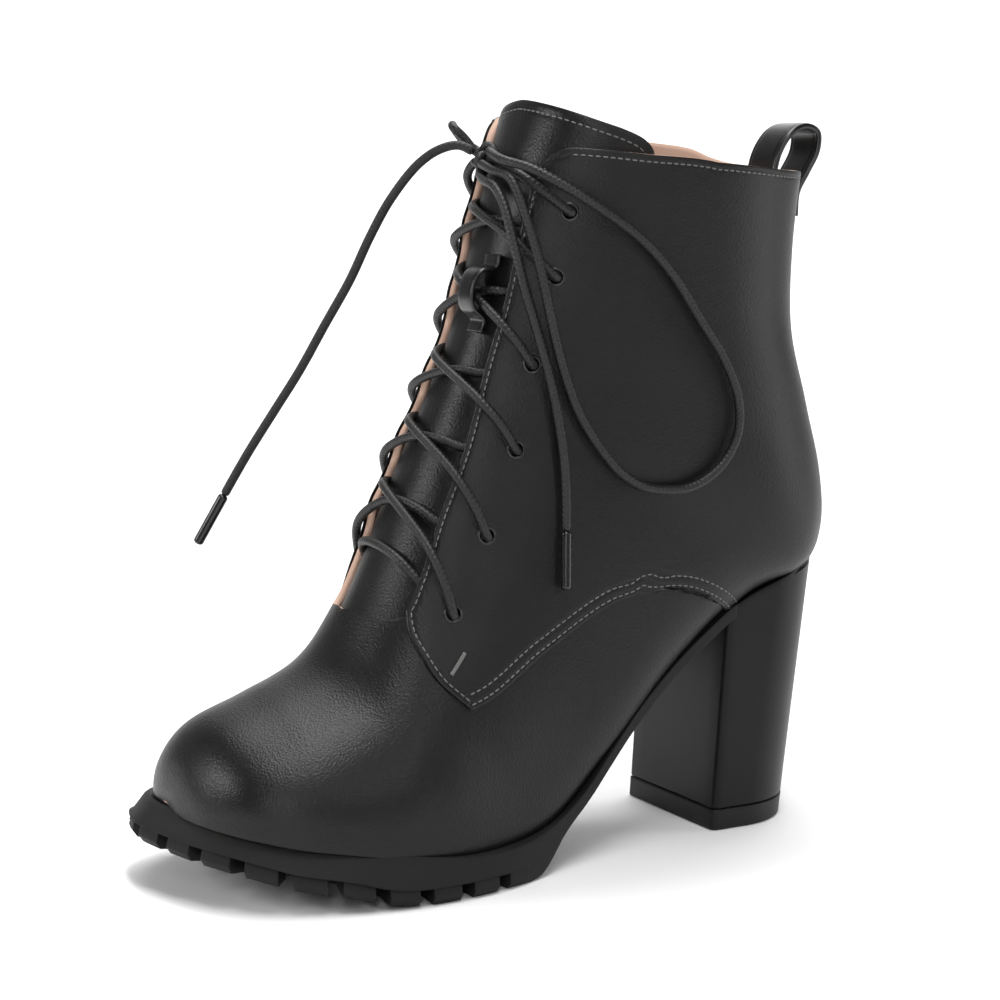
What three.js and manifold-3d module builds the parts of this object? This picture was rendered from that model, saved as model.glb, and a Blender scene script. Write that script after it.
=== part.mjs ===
// A women's lace up ankle boot with a block heel, the left one of its pair, in millimetres.
// X runs to the toe, Y to the outer side, Z up. The origin is on the floor under the heel.

import * as THREE from 'three';
import { mergeVertices } from 'three/addons/utils/BufferGeometryUtils.js';
import Module from 'manifold-3d';

const wasm = await Module();
wasm.setup();

// Driving sizes of the last
const soleLength = 241;      // back of the seat to the tip of the toe
const ballWidth = 92;        // widest part of the sole
const heelHeight = 92;       // floor to the back of the seat
const instepHeight = 75;     // sole up to the foot of the throat
const legHeight = 53;        // foot of the throat up to the collar
const toeSpring = 14.4;      // how far the tip of the sole's top lies above its ball

// Driving sizes of the materials
const wall = 2.2;            // upper with its lining
const quarterStep = 1.2;     // the quarters stand proud of the vamp
const clearance = 0.3;       // between pieces that touch
const soleThickness = 12;    // forepart at the ball
const waistThickness = 4.5;
const soleFlare = 2.6;       // the side of the sole leans out to the floor
const soleChamfer = 1.6;
const lugHeight = 5.2;
const lugPitch = 14;
const lugGap = 4.6;
const lugLength = 12;
const moatWidth = 4;
const heelFootLength = 40;
const heelFootWidth = 52.6;
const heelCorner = 1.6;
const topLiftThickness = 7;
const insoleThickness = 2.6;
const tongueThickness = 2.4;
const strapThickness = 2.2;
const pullLoopWidth = 16;
const pullLoopRise = 17;      // over the collar
const pullLoopReach = 15.5;   // back from the lining
const keeperWidth = 9;
const keeperThickness = 1.3;
const laceDiameter = 3;
const eyeletBore = 4.6;
const agletLength = 18;
const agletDiameter = 3.4;
const knotDiameter = 9.6;

// A table's rows as objects with named columns
const table = (names, rows) =>
  rows.map((row) => Object.fromEntries(names.map((name, i) => [name, row[i]])));
const mix = (a, b, share) => a + (b - a) * share;
const clamp = (value, low, high) => Math.min(Math.max(value, low), high);

// Heights: lift is the share of the heel's height that a point takes with it; climb runs from 0 at the
// sole through 1 at the foot of the throat to 2 at the collar.
const liftHeight = (lift) => mix(soleThickness, heelHeight, lift);
const climbHeight = (climb) => instepHeight * Math.min(climb, 1) + legHeight * Math.max(climb - 1, 0);

// The sole from heel to toe. at is a share of soleLength and lift one of the heel's height. spring and rise
// are shares of toeSpring for its top and its underside. tread is 1 on the thick forepart, 0 in the waist.
const soleStations = table(['at', 'lift', 'spring', 'tread', 'rise'], [
  [-0.187, 1.02, 0, 0, 0],
  [-0.137, 1, 0, 0, 0],
  [-0.042, 0.92, 0, 0, 0],
  [0.058, 0.795, 0, 0, 0],
  [0.083, 0.745, 0, 0, 0],
  [0.158, 0.58, 0, 0, 0],
  [0.224, 0.406, 0, 0, 0],
  [0.27, 0.27, 0, 0, 0],
  [0.307, 0.162, 0, 0, 0],
  [0.353, 0.07, 0, 0.12, 0],
  [0.402, 0.022, 0, 0.9, 0],
  [0.448, 0.003, 0, 1, 0],
  [0.502, 0, 0, 1, 0],
  [0.56, 0, 0.104, 1, 0],
  [0.627, 0, 0.312, 1, 0.08],
  [0.689, 0, 0.507, 1, 0.36],
  [0.747, 0, 0.68, 1, 0.54],
  [0.788, 0, 0.83, 1, 0.74],
  [0.842, 0, 1, 1, 0.95],
  [0.88, 0, 1.11, 1, 1.06],
]);

// Rim of the sole in plan, from the heel breast to the tip: shares of soleLength and of ballWidth
const rimStations = table(['at', 'outer', 'inner'], [
  [0.045, 0.295, 0.293],
  [0.11, 0.305, 0.293],
  [0.158, 0.315, 0.293],
  [0.224, 0.342, 0.299],
  [0.307, 0.397, 0.321],
  [0.353, 0.435, 0.348],
  [0.402, 0.484, 0.375],
  [0.448, 0.522, 0.402],
  [0.502, 0.543, 0.429],
  [0.56, 0.543, 0.446],
  [0.627, 0.522, 0.451],
  [0.689, 0.484, 0.44],
  [0.747, 0.418, 0.413],
  [0.788, 0.337, 0.38],
  [0.822, 0.217, 0.326],
  [0.842, 0.087, 0.25],
]);
const rimTip = { at: 0.857, side: -0.09 };

// The last as slanted sections from the toe to above the collar. Each joins a point on the heel side, or
// under the foot, to a point on the ridge. heelX and frontX are shares of soleLength; outer, inner and swing
// of ballWidth. widest is where the section is widest, from -1 under it to 1 on the ridge, and under and
// over are the exponents of its superellipse below and above that.
const lastSections = table(
  [
    'heelX', 'heelClimb', 'frontX', 'frontLift', 'frontClimb',
    'outer', 'inner', 'swing', 'widest', 'under', 'over',
  ],
  [
    [0.842, 0.088, 0.842, 0, 0.13, 0, 0, -0.06, 0, 2.4, 2.2],
    [0.839, -0.07, 0.841, 0, 0.272, 0.152, 0.091, -0.054, -0.1, 3, 1.95],
    [0.824, -0.1, 0.826, 0, 0.415, 0.283, 0.199, -0.039, -0.2, 4, 1.95],
    [0.784, -0.1, 0.79, 0, 0.533, 0.402, 0.286, -0.028, -0.3, 5, 1.95],
    [0.714, -0.1, 0.72, 0, 0.627, 0.478, 0.343, -0.015, -0.4, 6, 1.95],
    [0.622, -0.1, 0.643, 0, 0.75, 0.516, 0.372, -0.008, -0.5, 6, 1.95],
    [0.515, -0.093, 0.589, 0, 0.978, 0.511, 0.376, -0.018, -0.52, 6, 1.98],
    [0.39, -0.09, 0.548, 0.1, 1.19, 0.457, 0.368, -0.028, -0.5, 6, 2.15],
    [0.266, -0.075, 0.515, 0.25, 1.3, 0.402, 0.36, -0.033, -0.45, 5, 2.4],
    [0.141, -0.07, 0.486, 0.4, 1.377, 0.375, 0.355, -0.022, -0.4, 4, 2.5],
    [0.017, -0.03, 0.461, 0.55, 1.415, 0.364, 0.359, -0.011, -0.35, 3.4, 2.55],
    [-0.085, -0.05, 0.44, 0.7, 1.434, 0.364, 0.359, 0, -0.3, 2.8, 2.6],
    [-0.132, 0.07, 0.421, 0.85, 1.47, 0.37, 0.364, 0, -0.25, 2.4, 2.6],
    [-0.138, 0.32, 0.407, 0.95, 1.566, 0.375, 0.37, 0, -0.2, 2.2, 2.6],
    [-0.112, 0.64, 0.392, 1, 1.736, 0.375, 0.37, 0, -0.15, 2.2, 2.6],
    [-0.081, 1.02, 0.3755, 1, 1.98, 0.38, 0.375, 0, -0.1, 2.2, 2.6],
    [-0.077, 1.547, 0.359, 1, 2.21, 0.397, 0.391, 0, -0.05, 2.2, 2.6],
    [-0.087, 2.038, 0.342, 1, 2.434, 0.413, 0.408, 0, -0.02, 2.2, 2.6],
    [-0.103, 2.49, 0.326, 1, 2.68, 0.424, 0.418, 0, 0, 2.2, 2.6],
  ],
);

// Lines on the last: the section a point lies on, and its turn from 0 at the heel side to 1 on the ridge
const line = (rows) => table(['section', 'turn'], rows);
const outerTopline = line([
  [17.03, 0], [16.98, 0.18], [16.71, 0.446], [16.34, 0.614], [16.11, 0.726], [15.95, 0.79],
  [15.68, 0.83], [15.2, 0.858], [14.56, 0.862], [12.26, 0.869], [10.82, 0.868], [9.04, 0.832],
  [7.8, 0.824], [6.7, 0.815], [6.3, 0.835], [6, 0.9], [5.86, 1],
]);
const innerTopline = line([
  [17.03, 0], [17.09, 0.193], [17.18, 0.281], [17.14, 0.38], [17.04, 0.5], [16.95, 0.63],
  [16.86, 0.727], [16.65, 0.793], [16.12, 0.848], [15.38, 0.87], [14.57, 0.868], [12.26, 0.885],
  [10.48, 0.885], [8.5, 0.875], [7.05, 0.86], [6.3, 0.85], [6, 0.9], [5.86, 1],
]);
const quarterTab = line([[6.55, 0.818], [6.38, 0.79], [6.36, 0.75], [6.44, 0.688], [6.73, 0.618]]);
const quarterSeam = line([
  [6.73, 0.618], [7.55, 0.577], [8.16, 0.547], [8.72, 0.522], [9.17, 0.502], [9.5, 0.477],
  [9.66, 0.4], [9.7, 0.25],
]);
const tongueBack = line([
  [5.8, 0.72], [7.41, 0.657], [9.76, 0.682], [11.73, 0.711], [13.91, 0.68], [15.4, 0.62], [16.1, 0.59],
]);
const tongueTop = line([
  [16.1, 0.59], [16.42, 0.592], [16.6, 0.616], [16.68, 0.662], [16.74, 0.74], [16.87, 0.862], [17.02, 1],
]);
const tongueRoot = { section: 5.3, turn: 1 };
const eyelets = line([
  [7.16, 0.726], [8.29, 0.719], [9.59, 0.738], [11.27, 0.779], [13.24, 0.77], [14.68, 0.756],
]);

// Turn of the facing's edge beside each eyelet, on the outer and on the inner side
const facingEdges = table(['outer', 'inner'], [
  [0.819, 0.862],
  [0.827, 0.873],
  [0.844, 0.88],
  [0.869, 0.885],
  [0.867, 0.877],
  [0.862, 0.868],
]);

// Value of a column at a station: a smooth curve through the rows, straight beyond its ends
function along(rows, column, at) {
  const slope = (i) => {
    const low = Math.max(i - 1, 0);
    const high = Math.min(i + 1, rows.length - 1);
    const before = (rows[i][column] - rows[low][column]) / (rows[i].at - rows[low].at || 1);
    const after = (rows[high][column] - rows[i][column]) / (rows[high].at - rows[i].at || 1);
    if (i === 0) return after;
    if (i === rows.length - 1) return before;
    return mix(before, after, (rows[i].at - rows[low].at) / (rows[high].at - rows[low].at));
  };
  const last = rows.length - 1;
  if (at <= rows[0].at) return rows[0][column] + slope(0) * (at - rows[0].at);
  if (at >= rows[last].at) return rows[last][column] + slope(last) * (at - rows[last].at);
  const i = rows.findIndex((row) => row.at > at) - 1;
  const width = rows[i + 1].at - rows[i].at;
  const u = (at - rows[i].at) / width;
  return (
    rows[i][column] * (1 + 2 * u) * (1 - u) ** 2 +
    width * slope(i) * u * (1 - u) ** 2 +
    rows[i + 1][column] * u * u * (3 - 2 * u) +
    width * slope(i + 1) * u * u * (u - 1)
  );
}

function soleTop(x) {
  const at = x / soleLength;
  return liftHeight(along(soleStations, 'lift', at)) + along(soleStations, 'spring', at) * toeSpring;
}

function soleBottom(x) {
  const at = x / soleLength;
  const tread = clamp(along(soleStations, 'tread', at), 0, 1);
  const floor = Math.max(along(soleStations, 'rise', at), 0) * toeSpring;
  return mix(soleTop(x) - waistThickness, floor, tread);
}

// The sections in millimetres
const sections = lastSections.map((row) => ({
  heelX: row.heelX * soleLength,
  heelZ: soleTop(row.heelX * soleLength) + climbHeight(row.heelClimb),
  frontX: row.frontX * soleLength,
  frontZ: liftHeight(row.frontLift) + climbHeight(row.frontClimb),
  outer: row.outer * ballWidth,
  inner: row.inner * ballWidth,
  swing: row.swing * ballWidth,
  widest: row.widest,
  under: row.under,
  over: row.over,
}));
const topSection = sections.length - 1;

// A section between two rows, by a Catmull-Rom curve through each column
function sectionAt(place) {
  const i = clamp(Math.floor(place), 0, topSection - 1);
  const u = place - i;
  const blended = {};
  for (const column of Object.keys(sections[0])) {
    const b = sections[i][column];
    const c = sections[i + 1][column];
    const a = i > 0 ? sections[i - 1][column] : 2 * b - c;
    const d = i + 2 <= topSection ? sections[i + 2][column] : 2 * c - b;
    blended[column] =
      0.5 * (2 * b + (c - a) * u + (2 * a - 5 * b + 4 * c - d) * u * u + (3 * b - a - 3 * c + d) * u ** 3);
  }
  return blended;
}

// A point of the last's surface. turn runs from 0 at the heel side to 1 on the ridge on the outer side,
// and from 0 to -1 on the inner side.
function onLast(place, turn) {
  const s = sectionAt(place);
  const cos = Math.cos(turn * Math.PI);
  const sin = Math.sin(turn * Math.PI);
  const power = 2 / (cos > 0 ? s.under : s.over);
  const rise = Math.abs(cos) ** power;
  const across = Math.abs(sin) ** power;
  const level = cos > 0 ? mix(s.widest, -1, rise) : mix(s.widest, 1, rise);
  const share = (level + 1) / 2;
  const halfWidth = sin >= 0 ? s.outer : s.inner;
  return new THREE.Vector3(
    mix(s.heelX, s.frontX, share),
    Math.sign(sin) * halfWidth * across + s.swing * (0.5 + 0.5 * clamp(level, -1, 1)),
    mix(s.heelZ, s.frontZ, share),
  );
}

// The same point moved out along the surface's normal
function offLast(place, turn, distance) {
  const step = 0.01;
  const point = onLast(place, turn);
  const above = onLast(Math.min(place + step, topSection), turn);
  const up = above.sub(onLast(Math.max(place - step, 0), turn));
  const round = onLast(place, turn + step).sub(onLast(place, turn - step));
  const normal = new THREE.Vector3().crossVectors(up, round).normalize();
  const s = sectionAt(place);
  const middle = new THREE.Vector3((s.heelX + s.frontX) / 2, s.swing / 2, (s.heelZ + s.frontZ) / 2);
  if (normal.dot(point.clone().sub(middle)) < 0) normal.negate();
  return point.addScaledVector(normal, distance);
}

// Solids and meshes
function solidOf(vertices, triangles) {
  const geometry = new THREE.BufferGeometry();
  const numbers = vertices.flatMap((v) => [v.x, v.y, v.z]);
  geometry.setAttribute('position', new THREE.Float32BufferAttribute(numbers, 3));
  geometry.setIndex(triangles.flat());
  return solidFrom(geometry);
}

function solidFrom(source) {
  const bare = new THREE.BufferGeometry();
  bare.setAttribute('position', source.getAttribute('position'));
  bare.setIndex(source.index);
  const merged = mergeVertices(bare, 1e-4);
  const corners = merged.index.array;
  const kept = [];
  for (let i = 0; i < corners.length; i += 3) {
    const [a, b, c] = [corners[i], corners[i + 1], corners[i + 2]];
    if (a !== b && b !== c && c !== a) kept.push(a, b, c);
  }
  return new wasm.Manifold(
    new wasm.Mesh({
      numProp: 3,
      vertProperties: Float32Array.from(merged.attributes.position.array),
      triVerts: Uint32Array.from(kept),
    }),
  );
}

function geometryOf(solid) {
  const mesh = solid.getMesh();
  const geometry = new THREE.BufferGeometry();
  const numbers = Float32Array.from(mesh.vertProperties);
  geometry.setAttribute('position', new THREE.BufferAttribute(numbers, 3));
  geometry.setIndex(new THREE.BufferAttribute(Uint32Array.from(mesh.triVerts), 1));
  return geometry;
}

// A closed form through loops of equally many points. Each loop is mirror paired, so its end caps are
// zipped across from one side to the other.
function loft(loops) {
  const count = loops[0].length;
  const triangles = [];
  for (let k = 0; k + 1 < loops.length; k++) {
    for (let i = 0; i < count; i++) {
      const j = (i + 1) % count;
      const [a, b, c, d] = [k * count + i, k * count + j, (k + 1) * count + j, (k + 1) * count + i];
      triangles.push([a, c, b], [a, d, c]);
    }
  }
  const top = (loops.length - 1) * count;
  for (let i = 0; i < Math.floor((count - 1) / 2); i++) {
    const far = count - 1 - i;
    triangles.push([i, i + 1, far], [top + i, top + far, top + i + 1]);
    if (far - 1 > i + 1) triangles.push([i + 1, far - 1, far], [top + i + 1, top + far, top + far - 1]);
  }
  return solidOf(loops.flat(), triangles);
}

// The last's form grown or shrunk by a distance, closed at the toe and above the collar
const formRows = 28;
const formColumns = 28;
const firstSection = 0.8;
function lastForm(distance) {
  const tip = onLast(0, 0).add(new THREE.Vector3(distance, 0, 0));
  const vertices = [tip];
  const triangles = [];
  const index = (row, column) => 1 + (row - 1) * formColumns + (column % formColumns);
  for (let row = 1; row <= formRows; row++) {
    for (let column = 0; column < formColumns; column++) {
      const turn = (2 * column) / formColumns;
      const place = mix(firstSection, topSection, (row - 1) / (formRows - 1));
      vertices.push(offLast(place, turn > 1 ? turn - 2 : turn, distance));
    }
  }
  const lid = vertices.length;
  const rim = vertices.slice(-formColumns);
  vertices.push(rim.reduce((sum, v) => sum.add(v), new THREE.Vector3()).divideScalar(formColumns));
  for (let column = 0; column < formColumns; column++) {
    triangles.push([0, index(1, column), index(1, column + 1)]);
    for (let row = 1; row < formRows; row++) {
      const [a, b, c, d] = [
        index(row, column), index(row, column + 1), index(row + 1, column + 1), index(row + 1, column),
      ];
      triangles.push([a, c, b], [a, d, c]);
    }
    triangles.push([lid, index(formRows, column + 1), index(formRows, column)]);
  }
  return solidOf(vertices, triangles);
}

// A prism across the boot from a side view outline of [x, z] points
function sidePrism(outline, fromY, toY) {
  const shape = new THREE.Shape(outline.map(([x, z]) => new THREE.Vector2(x, z)));
  const settings = { depth: toY - fromY, bevelEnabled: false, steps: 1 };
  const geometry = new THREE.ExtrudeGeometry(shape, settings);
  geometry.rotateX(Math.PI / 2);
  geometry.translate(0, toY, 0);
  return solidFrom(geometry);
}

// Side view points of a smooth curve through a line on the last
function sideCurve(rows, count) {
  const points = rows.map(({ section, turn }) => onLast(section, turn));
  const curve = new THREE.SplineCurve(points.map((p) => new THREE.Vector2(p.x, p.z)));
  return curve.getPoints(count).map((p) => [p.x, p.y]);
}

// Side view points along the sole's top, raised by a distance
const soleSteps = 30;
function soleCurve(raised) {
  const from = -0.25 * soleLength;
  const to = 0.92 * soleLength;
  return Array.from({ length: soleSteps + 1 }, (_, i) => {
    const x = mix(from, to, i / soleSteps);
    return [x, soleTop(x) + raised];
  });
}

// How far cutting prisms reach past the boot
const reach = {
  back: -soleLength,
  front: 2 * soleLength,
  side: 2 * ballWidth,
  top: 2 * (heelHeight + legHeight + instepHeight),
  under: -heelHeight,
};
const fullPrism = (outline) => sidePrism(outline, -reach.side, reach.side);
const belowSole = (raised) =>
  fullPrism([...soleCurve(raised), [reach.front, reach.under], [reach.back, reach.under]]);
const aboveSole = (raised) =>
  fullPrism([...soleCurve(raised), [reach.front, reach.top], [reach.back, reach.top]]);

// What is cut away above a topline and out of the throat, on one side
function aboveTopline(rows, fromY, toY) {
  const curve = sideCurve(rows, 32);
  const [backZ, frontZ] = [curve[0][1], curve[curve.length - 1][1]];
  const outline = [
    [reach.back, backZ], ...curve, [reach.front, frontZ], [reach.front, reach.top],
    [reach.back, reach.top],
  ];
  return sidePrism(outline, fromY, toY);
}

// The two quarters and the back, seen from the side
function quarterOutline() {
  const tab = sideCurve(quarterTab, 12);
  const seam = sideCurve(quarterSeam, 24);
  const seamEnd = seam[seam.length - 1];
  return [
    [reach.front, tab[0][1]],
    ...tab,
    ...seam.slice(1),
    [seamEnd[0] - heelHeight / 8, seamEnd[1] - heelHeight / 6],
    [reach.back, seamEnd[1] - heelHeight / 6],
    [reach.back, reach.top],
    [reach.front, reach.top],
  ];
}

// A round bar between two points
function rod(from, to, diameter, sides) {
  const length = from.distanceTo(to);
  const geometry = new THREE.CylinderGeometry(diameter / 2, diameter / 2, length, sides);
  const turn = new THREE.Quaternion().setFromUnitVectors(
    new THREE.Vector3(0, 1, 0),
    to.clone().sub(from).normalize(),
  );
  geometry.applyQuaternion(turn);
  const middle = from.clone().add(to).divideScalar(2);
  geometry.translate(middle.x, middle.y, middle.z);
  return solidFrom(geometry);
}

const eyeletPunches = eyelets.flatMap(({ section, turn }) =>
  [turn, -turn].map((side) => {
    const depth = wall + quarterStep + soleFlare;
    return rod(offLast(section, side, -depth), offLast(section, side, depth), eyeletBore, 12);
  }),
);

function makeUpper() {
  const quarters = lastForm(quarterStep).intersect(fullPrism(quarterOutline()));
  let upper = lastForm(0).add(quarters).subtract(lastForm(-wall));
  upper = upper.subtract(belowSole(clearance));
  upper = upper.subtract(aboveTopline(outerTopline, 0, reach.side));
  upper = upper.subtract(aboveTopline(innerTopline, -reach.side, 0));
  for (const punch of eyeletPunches) upper = upper.subtract(punch);
  return upper;
}

function makeTongue() {
  const face = -(wall + clearance);
  const back = sideCurve(tongueBack, 16);
  const top = sideCurve(tongueTop, 16);
  const root = onLast(tongueRoot.section, tongueRoot.turn);
  const frontZ = top[top.length - 1][1];
  const outline = [
    ...back, ...top.slice(1), [reach.front, frontZ], [reach.front, root.z], [root.x, root.z],
    [root.x, back[0][1]],
  ];
  return lastForm(face)
    .subtract(lastForm(face - tongueThickness))
    .intersect(fullPrism(outline));
}

function makeInsole() {
  return lastForm(-(wall + clearance))
    .subtract(belowSole(clearance))
    .subtract(aboveSole(clearance + insoleThickness));
}

// Rim outline of the sole in plan, outer side first, with the outward direction at each point
const rimPoints = 52;
function makeRimCurve() {
  const outer = rimStations.map((r) => new THREE.Vector2(r.at * soleLength, r.outer * ballWidth));
  const inner = rimStations.map((r) => new THREE.Vector2(r.at * soleLength, -r.inner * ballWidth)).reverse();
  const tip = new THREE.Vector2(rimTip.at * soleLength, rimTip.side * ballWidth);
  return new THREE.SplineCurve([...outer, tip, ...inner]);
}

const rimCurve = makeRimCurve();
const rim = Array.from({ length: rimPoints + 1 }, (_, i) => {
  const point = rimCurve.getPoint(i / rimPoints);
  const tangent = rimCurve.getTangent(i / rimPoints);
  const atBreast = i === 0 || i === rimPoints;
  const outward = new THREE.Vector2(atBreast ? 0 : -tangent.y, tangent.x).normalize();
  return { x: point.x, y: point.y, outward };
});
const rimLevel = (grow, height) =>
  rim.map(({ x, y, outward }) => {
    const gx = x + outward.x * grow(x);
    return new THREE.Vector3(gx, y + outward.y * grow(x), height(gx));
  });

// Front of the heel, which leans back as it rises
const heelFootFront = 0.46 * heelFootLength;
const breastTop = 0.056 * soleLength;
const breastX = (z) => mix(heelFootFront, breastTop, z / heelHeight);
const treadStart = 0.4 * soleLength;
const flareAt = (x) => soleFlare * clamp((x - treadStart) / (0.2 * soleLength), 0, 1);
const heightShare = (share) => (x) => mix(soleBottom(x), soleTop(x), share);

function makeOutsole() {
  const chamfer = (x) => flareAt(x) - soleChamfer * clamp((x - treadStart) / soleThickness, 0, 1);
  let sole = loft([
    rimLevel(chamfer, heightShare(0)),
    rimLevel(flareAt, heightShare(0.16)),
    rimLevel((x) => flareAt(x) * 0.9, heightShare(0.45)),
    rimLevel(() => 0, (x) => soleTop(x) + waistThickness),
  ]).subtract(aboveSole(0));
  const cutDepth = (x) => soleBottom(x) + lugHeight;
  const below = (x) => soleBottom(x) - lugHeight;
  const moatOuter = loft([rimLevel(() => -lugLength, below), rimLevel(() => -lugLength, cutDepth)]);
  const moatInner = loft([
    rimLevel(() => -lugLength - moatWidth, (x) => below(x) - 1),
    rimLevel(() => -lugLength - moatWidth, (x) => cutDepth(x) + 1),
  ]);
  const treadBox = new THREE.BoxGeometry(soleLength, 2 * ballWidth, 2 * heelHeight);
  treadBox.translate(treadStart + lugLength / 2 + soleLength / 2, 0, 0);
  sole = sole.subtract(moatOuter.subtract(moatInner).intersect(solidFrom(treadBox)));
  for (const notch of lugNotches()) sole = sole.subtract(notch);
  for (const groove of treadGrooves()) sole = sole.subtract(groove);
  const behindBreast = [
    [breastX(reach.under) + clearance, reach.under],
    [breastX(reach.top) + clearance, reach.top],
    [reach.back, reach.top],
    [reach.back, reach.under],
  ];
  return sole.subtract(fullPrism(behindBreast));
}

// Notches between the edge lugs, one every lugPitch round the rim
function lugNotches() {
  const inward = lugLength + moatWidth / 2;
  const outward = 2 * soleFlare;
  const length = rimCurve.getLength();
  const notches = [];
  for (let distance = lugPitch / 2; distance < length; distance += lugPitch) {
    const point = rimCurve.getPointAt(distance / length);
    const tangent = rimCurve.getTangentAt(distance / length);
    if (point.x < treadStart + lugGap) continue;
    const box = new THREE.BoxGeometry(inward + outward, lugGap, 2 * lugHeight);
    box.translate((outward - inward) / 2, 0, 0);
    box.rotateZ(Math.atan2(tangent.x, -tangent.y));
    box.translate(point.x, point.y, soleBottom(point.x + (tangent.y * lugLength) / 2));
    notches.push(solidFrom(box));
  }
  return notches;
}

// Grooves across the middle of the tread
function treadGrooves() {
  const grooves = [];
  const inset = lugLength + moatWidth / 2;
  for (let x = treadStart + 2 * lugPitch; x < rimTip.at * soleLength - inset - lugGap; x += lugPitch) {
    const near = rim.filter((p) => Math.abs(p.x - x) < lugPitch);
    const outer = Math.max(...near.map((p) => p.y)) - inset;
    const inner = Math.min(...near.map((p) => p.y)) + inset;
    const groove = new THREE.BoxGeometry(lugGap, outer - inner, 2 * lugHeight);
    groove.translate(x, (outer + inner) / 2, soleBottom(x));
    grooves.push(solidFrom(groove));
  }
  return grooves;
}

// Plan of the heel at a height: a flat breast in front, straight sides and an elliptical back
const seatBack = -0.139 * soleLength;
const seatWidth = 0.59 * ballWidth;
function heelLevel(z) {
  const share = z / heelHeight;
  const front = breastX(z);
  const back = mix(heelFootFront - heelFootLength, seatBack, share);
  const half = mix(heelFootWidth, seatWidth, share) / 2;
  const outline = [
    [front, half - heelCorner],
    [front - heelCorner, half],
  ];
  const steps = 12;
  const roundFrom = back + half;
  for (let i = 0; i <= steps; i++) {
    const angle = (Math.PI / 2) * (i / steps);
    outline.push([roundFrom - half * Math.sin(angle), half * Math.cos(angle)]);
  }
  const mirrored = outline.slice(0, -1).reverse().map(([x, y]) => [x, -y]);
  return [...outline, ...mirrored].map(([x, y]) => new THREE.Vector3(x, -y, z));
}

function makeHeel() {
  const foot = topLiftThickness + clearance;
  const levels = [foot, mix(foot, heelHeight, 0.5), 1.1 * heelHeight];
  return loft(levels.map(heelLevel)).subtract(aboveSole(0));
}

const makeTopLift = () => loft([heelLevel(0), heelLevel(topLiftThickness)]);

// Side view outline of a strap of a thickness whose middle follows a curve
function strapOutline(points, thickness, count) {
  const curve = new THREE.SplineCurve(points.map(([x, z]) => new THREE.Vector2(x, z)));
  const left = [];
  const right = [];
  for (let i = 0; i <= count; i++) {
    const p = curve.getPoint(i / count);
    const t = curve.getTangent(i / count);
    left.push([p.x - t.y * thickness / 2, p.y + t.x * thickness / 2]);
    right.unshift([p.x + t.y * thickness / 2, p.y - t.x * thickness / 2]);
  }
  return [...left, ...right];
}

// The pull loop stands on both faces of the collar's back and leans away from the leg
function makePullLoop() {
  const collar = onLast(outerTopline[0].section, 0);
  let turn = 0;
  while (onLast(outerTopline[0].section, turn).y < pullLoopWidth / 2) turn += 0.01;
  const sections = [outerTopline[0].section, outerTopline[0].section - 0.6];
  const besideX = Math.max(...sections.map((section) => onLast(section, turn).x));
  const inside = besideX + wall + 2 * clearance + strapThickness / 2;
  const outside = collar.x - quarterStep - 2 * clearance - strapThickness / 2;
  const middle = [
    [inside, collar.z - 0.82 * pullLoopRise],
    [inside, collar.z - 0.12 * pullLoopRise],
    [inside, collar.z + 0.41 * pullLoopRise],
    [inside - 0.2 * pullLoopReach, collar.z + 0.85 * pullLoopRise],
    [inside - 0.58 * pullLoopReach, collar.z + pullLoopRise],
    [inside - 0.94 * pullLoopReach, collar.z + 0.85 * pullLoopRise],
    [inside - pullLoopReach, collar.z + 0.5 * pullLoopRise],
    [outside - 0.06 * pullLoopReach, collar.z],
    [outside, collar.z - 0.41 * pullLoopRise],
    [outside, collar.z - 0.88 * pullLoopRise],
  ];
  return sidePrism(strapOutline(middle, strapThickness, 20), -pullLoopWidth / 2, pullLoopWidth / 2);
}

// The keeper is a short strap that arches over the laces on the tongue
function makeKeeper() {
  const seat = -(wall + clearance) + clearance + keeperThickness / 2;
  const over = laceDiameter + 1.9;
  const ridge = [
    [11.35, seat], [11.62, seat], [11.78, over * 0.6], [12, over],
    [12.5, over], [12.7, over * 0.6], [12.86, seat], [13.15, seat],
  ];
  const middle = ridge.map(([section, height]) => offLast(section, 1, height)).map((p) => [p.x, p.z]);
  return sidePrism(strapOutline(middle, keeperThickness, 18), -keeperWidth / 2, keeperWidth / 2);
}

// A round lace along a smooth curve through points
const laceSides = 8;
function lace(points, diameter, steps) {
  const curve = new THREE.CatmullRomCurve3(points, false, 'centripetal');
  const ring = Array.from({ length: laceSides }, (_, i) => {
    const angle = (2 * Math.PI * i) / laceSides;
    return new THREE.Vector2((Math.cos(angle) * diameter) / 2, (Math.sin(angle) * diameter) / 2);
  });
  const settings = { steps, extrudePath: curve, bevelEnabled: false };
  return solidFrom(new THREE.ExtrudeGeometry(new THREE.Shape(ring), settings));
}

// Heights of a lace over the facing, and of one that lies on the tongue
const laceOver = quarterStep + laceDiameter / 2 + 1.5 * clearance;
const laceUnder = -(wall + clearance) + laceDiameter / 2 + 2 * clearance;

// One lace from an eyelet over its own facing and down between the facings to the far one
function crossingHalf(row, side) {
  const hole = eyelets[row];
  const [own, far] = side > 0 ? ['outer', 'inner'] : ['inner', 'outer'];
  const edge = facingEdges[row][own];
  const farEdge = facingEdges[row + 1][far];
  const section = (share) => mix(hole.section, eyelets[row + 1].section, share);
  return lace(
    [
      offLast(hole.section, side * hole.turn, laceOver),
      offLast(section(0.12), side * mix(hole.turn, edge, 0.5), laceOver),
      offLast(section(0.28), side * edge, laceOver),
      offLast(section(0.5), side, mix(laceOver, laceUnder, 0.5)),
      offLast(section(0.65), -side * mix(1, farEdge, 0.35), laceUnder),
      offLast(section(0.72), -side * mix(1, farEdge, 0.6), laceUnder),
    ],
    laceDiameter,
    6,
  );
}

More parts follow.
